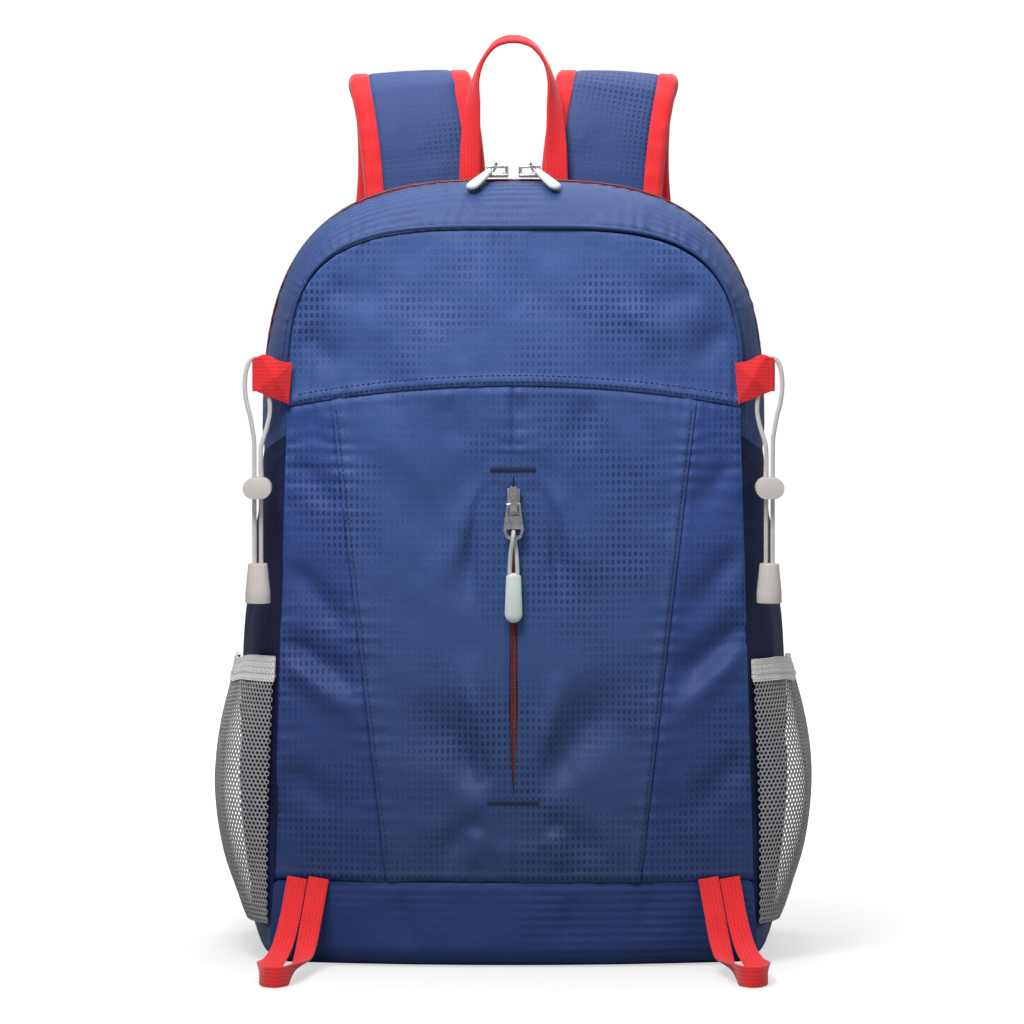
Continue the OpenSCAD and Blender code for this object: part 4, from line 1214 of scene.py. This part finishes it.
def moulding(node, body, finish, width, steps=3, sharp=32):
    """A hard part with every edge rounded, as a mould leaves it."""
    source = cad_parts[node]
    obj = bpy.data.objects.new("hard." + node, source.data.copy())
    obj.data.transform(source.matrix_world)
    bpy.context.scene.collection.objects.link(obj)
    bpy.ops.object.select_all(action="DESELECT")
    bpy.context.view_layer.objects.active = obj
    obj.select_set(True)
    bpy.ops.object.mode_set(mode="EDIT")
    bpy.ops.mesh.select_mode(type="EDGE")
    bpy.ops.mesh.select_all(action="SELECT")
    bpy.ops.mesh.remove_doubles(threshold=0.000004)
    bpy.ops.mesh.dissolve_limited(angle_limit=math.radians(2))
    bpy.ops.mesh.select_all(action="DESELECT")
    bpy.ops.mesh.edges_select_sharp(sharpness=math.radians(sharp))
    if width:
        bpy.ops.mesh.bevel(offset=width * MM, segments=steps, affect="EDGES",
                           clamp_overlap=True)
    bpy.ops.mesh.select_all(action="SELECT")
    bpy.ops.mesh.quads_convert_to_tris()
    bpy.ops.mesh.normals_make_consistent(inside=False)
    bpy.ops.object.mode_set(mode="OBJECT")
    bpy.ops.object.shade_smooth_by_angle(angle=math.radians(40))
    obj.data.materials.clear()
    obj.data.materials.append(finish)
    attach(obj, body)
    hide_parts(node)


for side_name in SIDES:
    for stem, body, slot, finish, width in (
            ("cord_end", "bag", "pale_acetal", PALE_ACETAL, 1.3),
            ("cord_lock", "cord_lock_", "pale_acetal", PALE_ACETAL, 0.5),
            ("lock_button", "lock_button_", "pale_acetal", PALE_ACETAL, 0.9),
            ("ladder_lock", "ladder_lock_", "black_acetal", BLACK_ACETAL, 0.8),
            ("main_pull", "main_pull_", "die_cast_zinc", ZINC, 0),
            ("main_grip", "main_pull_", "mint_rubber", RUBBER, 0)):
        body = body + side_name if body.endswith("_") else body
        moulding(f"{stem}_{side_name}", body, finish, width)
for node, body, slot, finish, width in (
        ("pocket_slider", "pocket_slider", "die_cast_zinc", ZINC, 0.35),
        ("pocket_pull_tab", "pocket_pull", "die_cast_zinc", ZINC, 0.3),
        ("pocket_grip", "pocket_pull", "mint_rubber", RUBBER, 0.4)):
    moulding(node, body, finish, width)


def die_cast(name, blocks, body, finish, node):
    """A casting of rounded blocks: each has a middle, a size and an edge radius."""
    made = []
    for middle, size, edge in blocks:
        bpy.ops.object.select_all(action="DESELECT")
        bpy.ops.mesh.primitive_cube_add(size=MM, location=Vector(middle) * MM)
        block = bpy.context.object
        block.scale = size
        bpy.ops.object.transform_apply(location=True, rotation=False, scale=True)
        bpy.ops.object.mode_set(mode="EDIT")
        bpy.ops.mesh.select_all(action="SELECT")
        bpy.ops.mesh.bevel(offset=edge * MM, segments=4, affect="EDGES")
        bpy.ops.object.mode_set(mode="OBJECT")
        made.append(block)
    for block in made:
        block.select_set(True)
    bpy.context.view_layer.objects.active = made[0]
    bpy.ops.object.join()
    obj = bpy.context.object
    obj.name = name
    bpy.ops.object.shade_smooth_by_angle(angle=math.radians(40))
    obj.data.materials.append(finish)
    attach(obj, body)
    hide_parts(node)


# Main sliders: a body round the coil with a raised top, and a bridge on two posts.
for side_name, s in SIDES.items():
    x, y = 9.5 * s, LINE_Y[1]
    top = TOP_Z[1]
    die_cast("hard.main_slider_" + side_name, [
        ((x, y, top + 2.9), (13, 7.6, 2.2), 0.9), ((x, y, top + 4.0), (8.6, 5.4, 1.8), 0.8),
        ((x - 5.5, y, top + 5.6), (1.9, 3, 5.6), 0.7),
        ((x + 5.5, y, top + 5.6), (1.9, 3, 5.6), 0.7),
        ((x, y, top + 8.1), (12.9, 3, 1.7), 0.75)],
        "main_slider_" + side_name, ZINC, "main_slider_" + side_name)


def tacks():
    """Close zigzag stitching across both ends of the slit."""
    ends = []
    for z, width in ((SLIT_HIGH + 1.8, 26), (SLIT_LOW - 1.8, 30)):
        x = np.arange(-width / 2, width / 2, 0.5)
        for off in (-1.7, 1.7):
            at = front_cloth(x + 0.12 * off, z + off + 0 * x)
            ends.append(at - (0, 0.15, 0))
    a, b = np.concatenate(ends[::2]), np.concatenate(ends[1::2])
    threads("bar_tacks", a, b, (0, -1, 0), 0.75, "dark_ripstop", NAVY_THREAD,
            ["bar_tacks"])


def pocket_zip():
    """The slit pocket's zip: tape with a coil on its front."""
    z = np.arange(SLIT_LOW - 2, SLIT_HIGH + 2, 0.3)
    path = np.stack([0 * z, FRONT_Y + 2.85 + 0 * z, z], 1)
    profile = round_bar(4.4, 1.1, 0.5)
    tooth = 0.16 * np.cos(2 * math.pi * z / 1.3)[:, None] - 0.25 * bump(
        profile[:, 0], 0.4)[None]
    sweep("pocket_coil", path, (1, 0, 0), profile, COIL, ["pocket_zip_coil"],
          lift=tooth)
    v, u = grid(60, 21)
    x, z = lerp(-12, 12, u), lerp(SLIT_LOW - 4, SLIT_HIGH + 4, v)
    p = np.stack([x, FRONT_Y + 3.7 + 0.1 * grain(x / 3, z / 9, 55), z], -1)
    slab("pocket_tape", p, 0.8, x, z, POCKET_TAPE, ["pocket_zip_tape"])
    x, z = lerp(-85, 85, u), lerp(70, 310, v)
    p = np.stack([x, FRONT_Y + 15.3 + 0.7 * grain(x / 22, z / 30, 56), z], -1)
    slab("pocket_lining", p, 0.8, x, z, LINING, ["pocket_lining"])


tacks()
pocket_zip()
for node, material in (("lock_spring_left", STEEL), ("lock_spring_right", STEEL),
                       ("back_pad", FOAM)):
    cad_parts[node].data.materials.clear()
    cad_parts[node].data.materials.append(material)


# ---------------------------------------------------------------- studio

def studio():
    add, finish = start("paper_backdrop_white")
    place = add("ShaderNodeTexCoord", {})["Object"]
    tooth = add("ShaderNodeTexNoise", {"Vector": place, "Scale": 60.0})[0]
    colour = add("ShaderNodeMixRGB", {0: tooth, 1: linear("#9d9d9e"),
                                      2: linear("#a3a3a3")})[0]
    # The paper runs up into a lit sweep: to the camera it glows away from the bag.
    away = add("ShaderNodeVectorMath", {0: place}, operation="LENGTH")["Value"]
    glow = add("ShaderNodeMapRange", {0: away, 1: 0.2, 2: 0.8, 3: 0.6, 4: 0.98})[0]
    seen = add("ShaderNodeLightPath", {})["Is Camera Ray"]
    glow = add("ShaderNodeMath", {0: glow, 1: seen}, operation="MULTIPLY")[0]
    paper = finish(colour, Roughness=0.9)
    shader = paper.node_tree.nodes["Principled BSDF"]
    shader.inputs["Emission Color"].default_value = (1, 1, 1, 1)
    paper.node_tree.links.new(glow, shader.inputs["Emission Strength"])
    bpy.ops.object.select_all(action="DESELECT")
    bpy.ops.mesh.primitive_plane_add(size=14, location=(0, 0, 0))
    floor = bpy.context.object
    floor.name = "floor"
    floor.data.materials.append(paper)

    # The surroundings are plain white to look at and dimmer as light.
    world = bpy.data.worlds.new("studio")
    bpy.context.scene.world = world
    world.use_nodes = True
    nodes, links = world.node_tree.nodes, world.node_tree.links
    dim, plain = nodes["Background"], nodes.new("ShaderNodeBackground")
    dim.inputs[0].default_value = plain.inputs[0].default_value = (1, 1, 1, 1)
    dim.inputs[1].default_value, plain.inputs[1].default_value = 0.26, 1.0
    seen, mix = nodes.new("ShaderNodeLightPath"), nodes.new("ShaderNodeMixShader")
    links.new(seen.outputs["Is Camera Ray"], mix.inputs[0])
    links.new(dim.outputs[0], mix.inputs[1])
    links.new(plain.outputs[0], mix.inputs[2])
    links.new(mix.outputs[0], nodes["World Output"].inputs[0])

    def softbox(name, place, aim, size, watts):
        light = bpy.data.lights.new(name, "AREA")
        light.shape = "RECTANGLE"
        light.size, light.size_y = size
        light.energy = watts
        obj = bpy.data.objects.new(name, light)
        obj.location = place
        obj.rotation_euler = (Vector(aim) - Vector(place)).to_track_quat("-Z", "Y").to_euler()
        bpy.context.scene.collection.objects.link(obj)

    softbox("key", (-0.3, -0.72, 1.25), (0, -0.1, 0.34), (0.45, 0.4), 13)
    softbox("fill", (1.7, -1.4, 0.8), (0, -0.05, 0.25), (0.8, 1.2), 4)
    softbox("top", (0, 0.3, 2.0), (0, 0, 0.3), (1.4, 1.4), 26)
    softbox("back", (0.4, 1.9, 1.5), (0, 0, 0.3), (1.4, 1.2), 8)
    bpy.context.scene.view_settings.view_transform = "Standard"


studio()
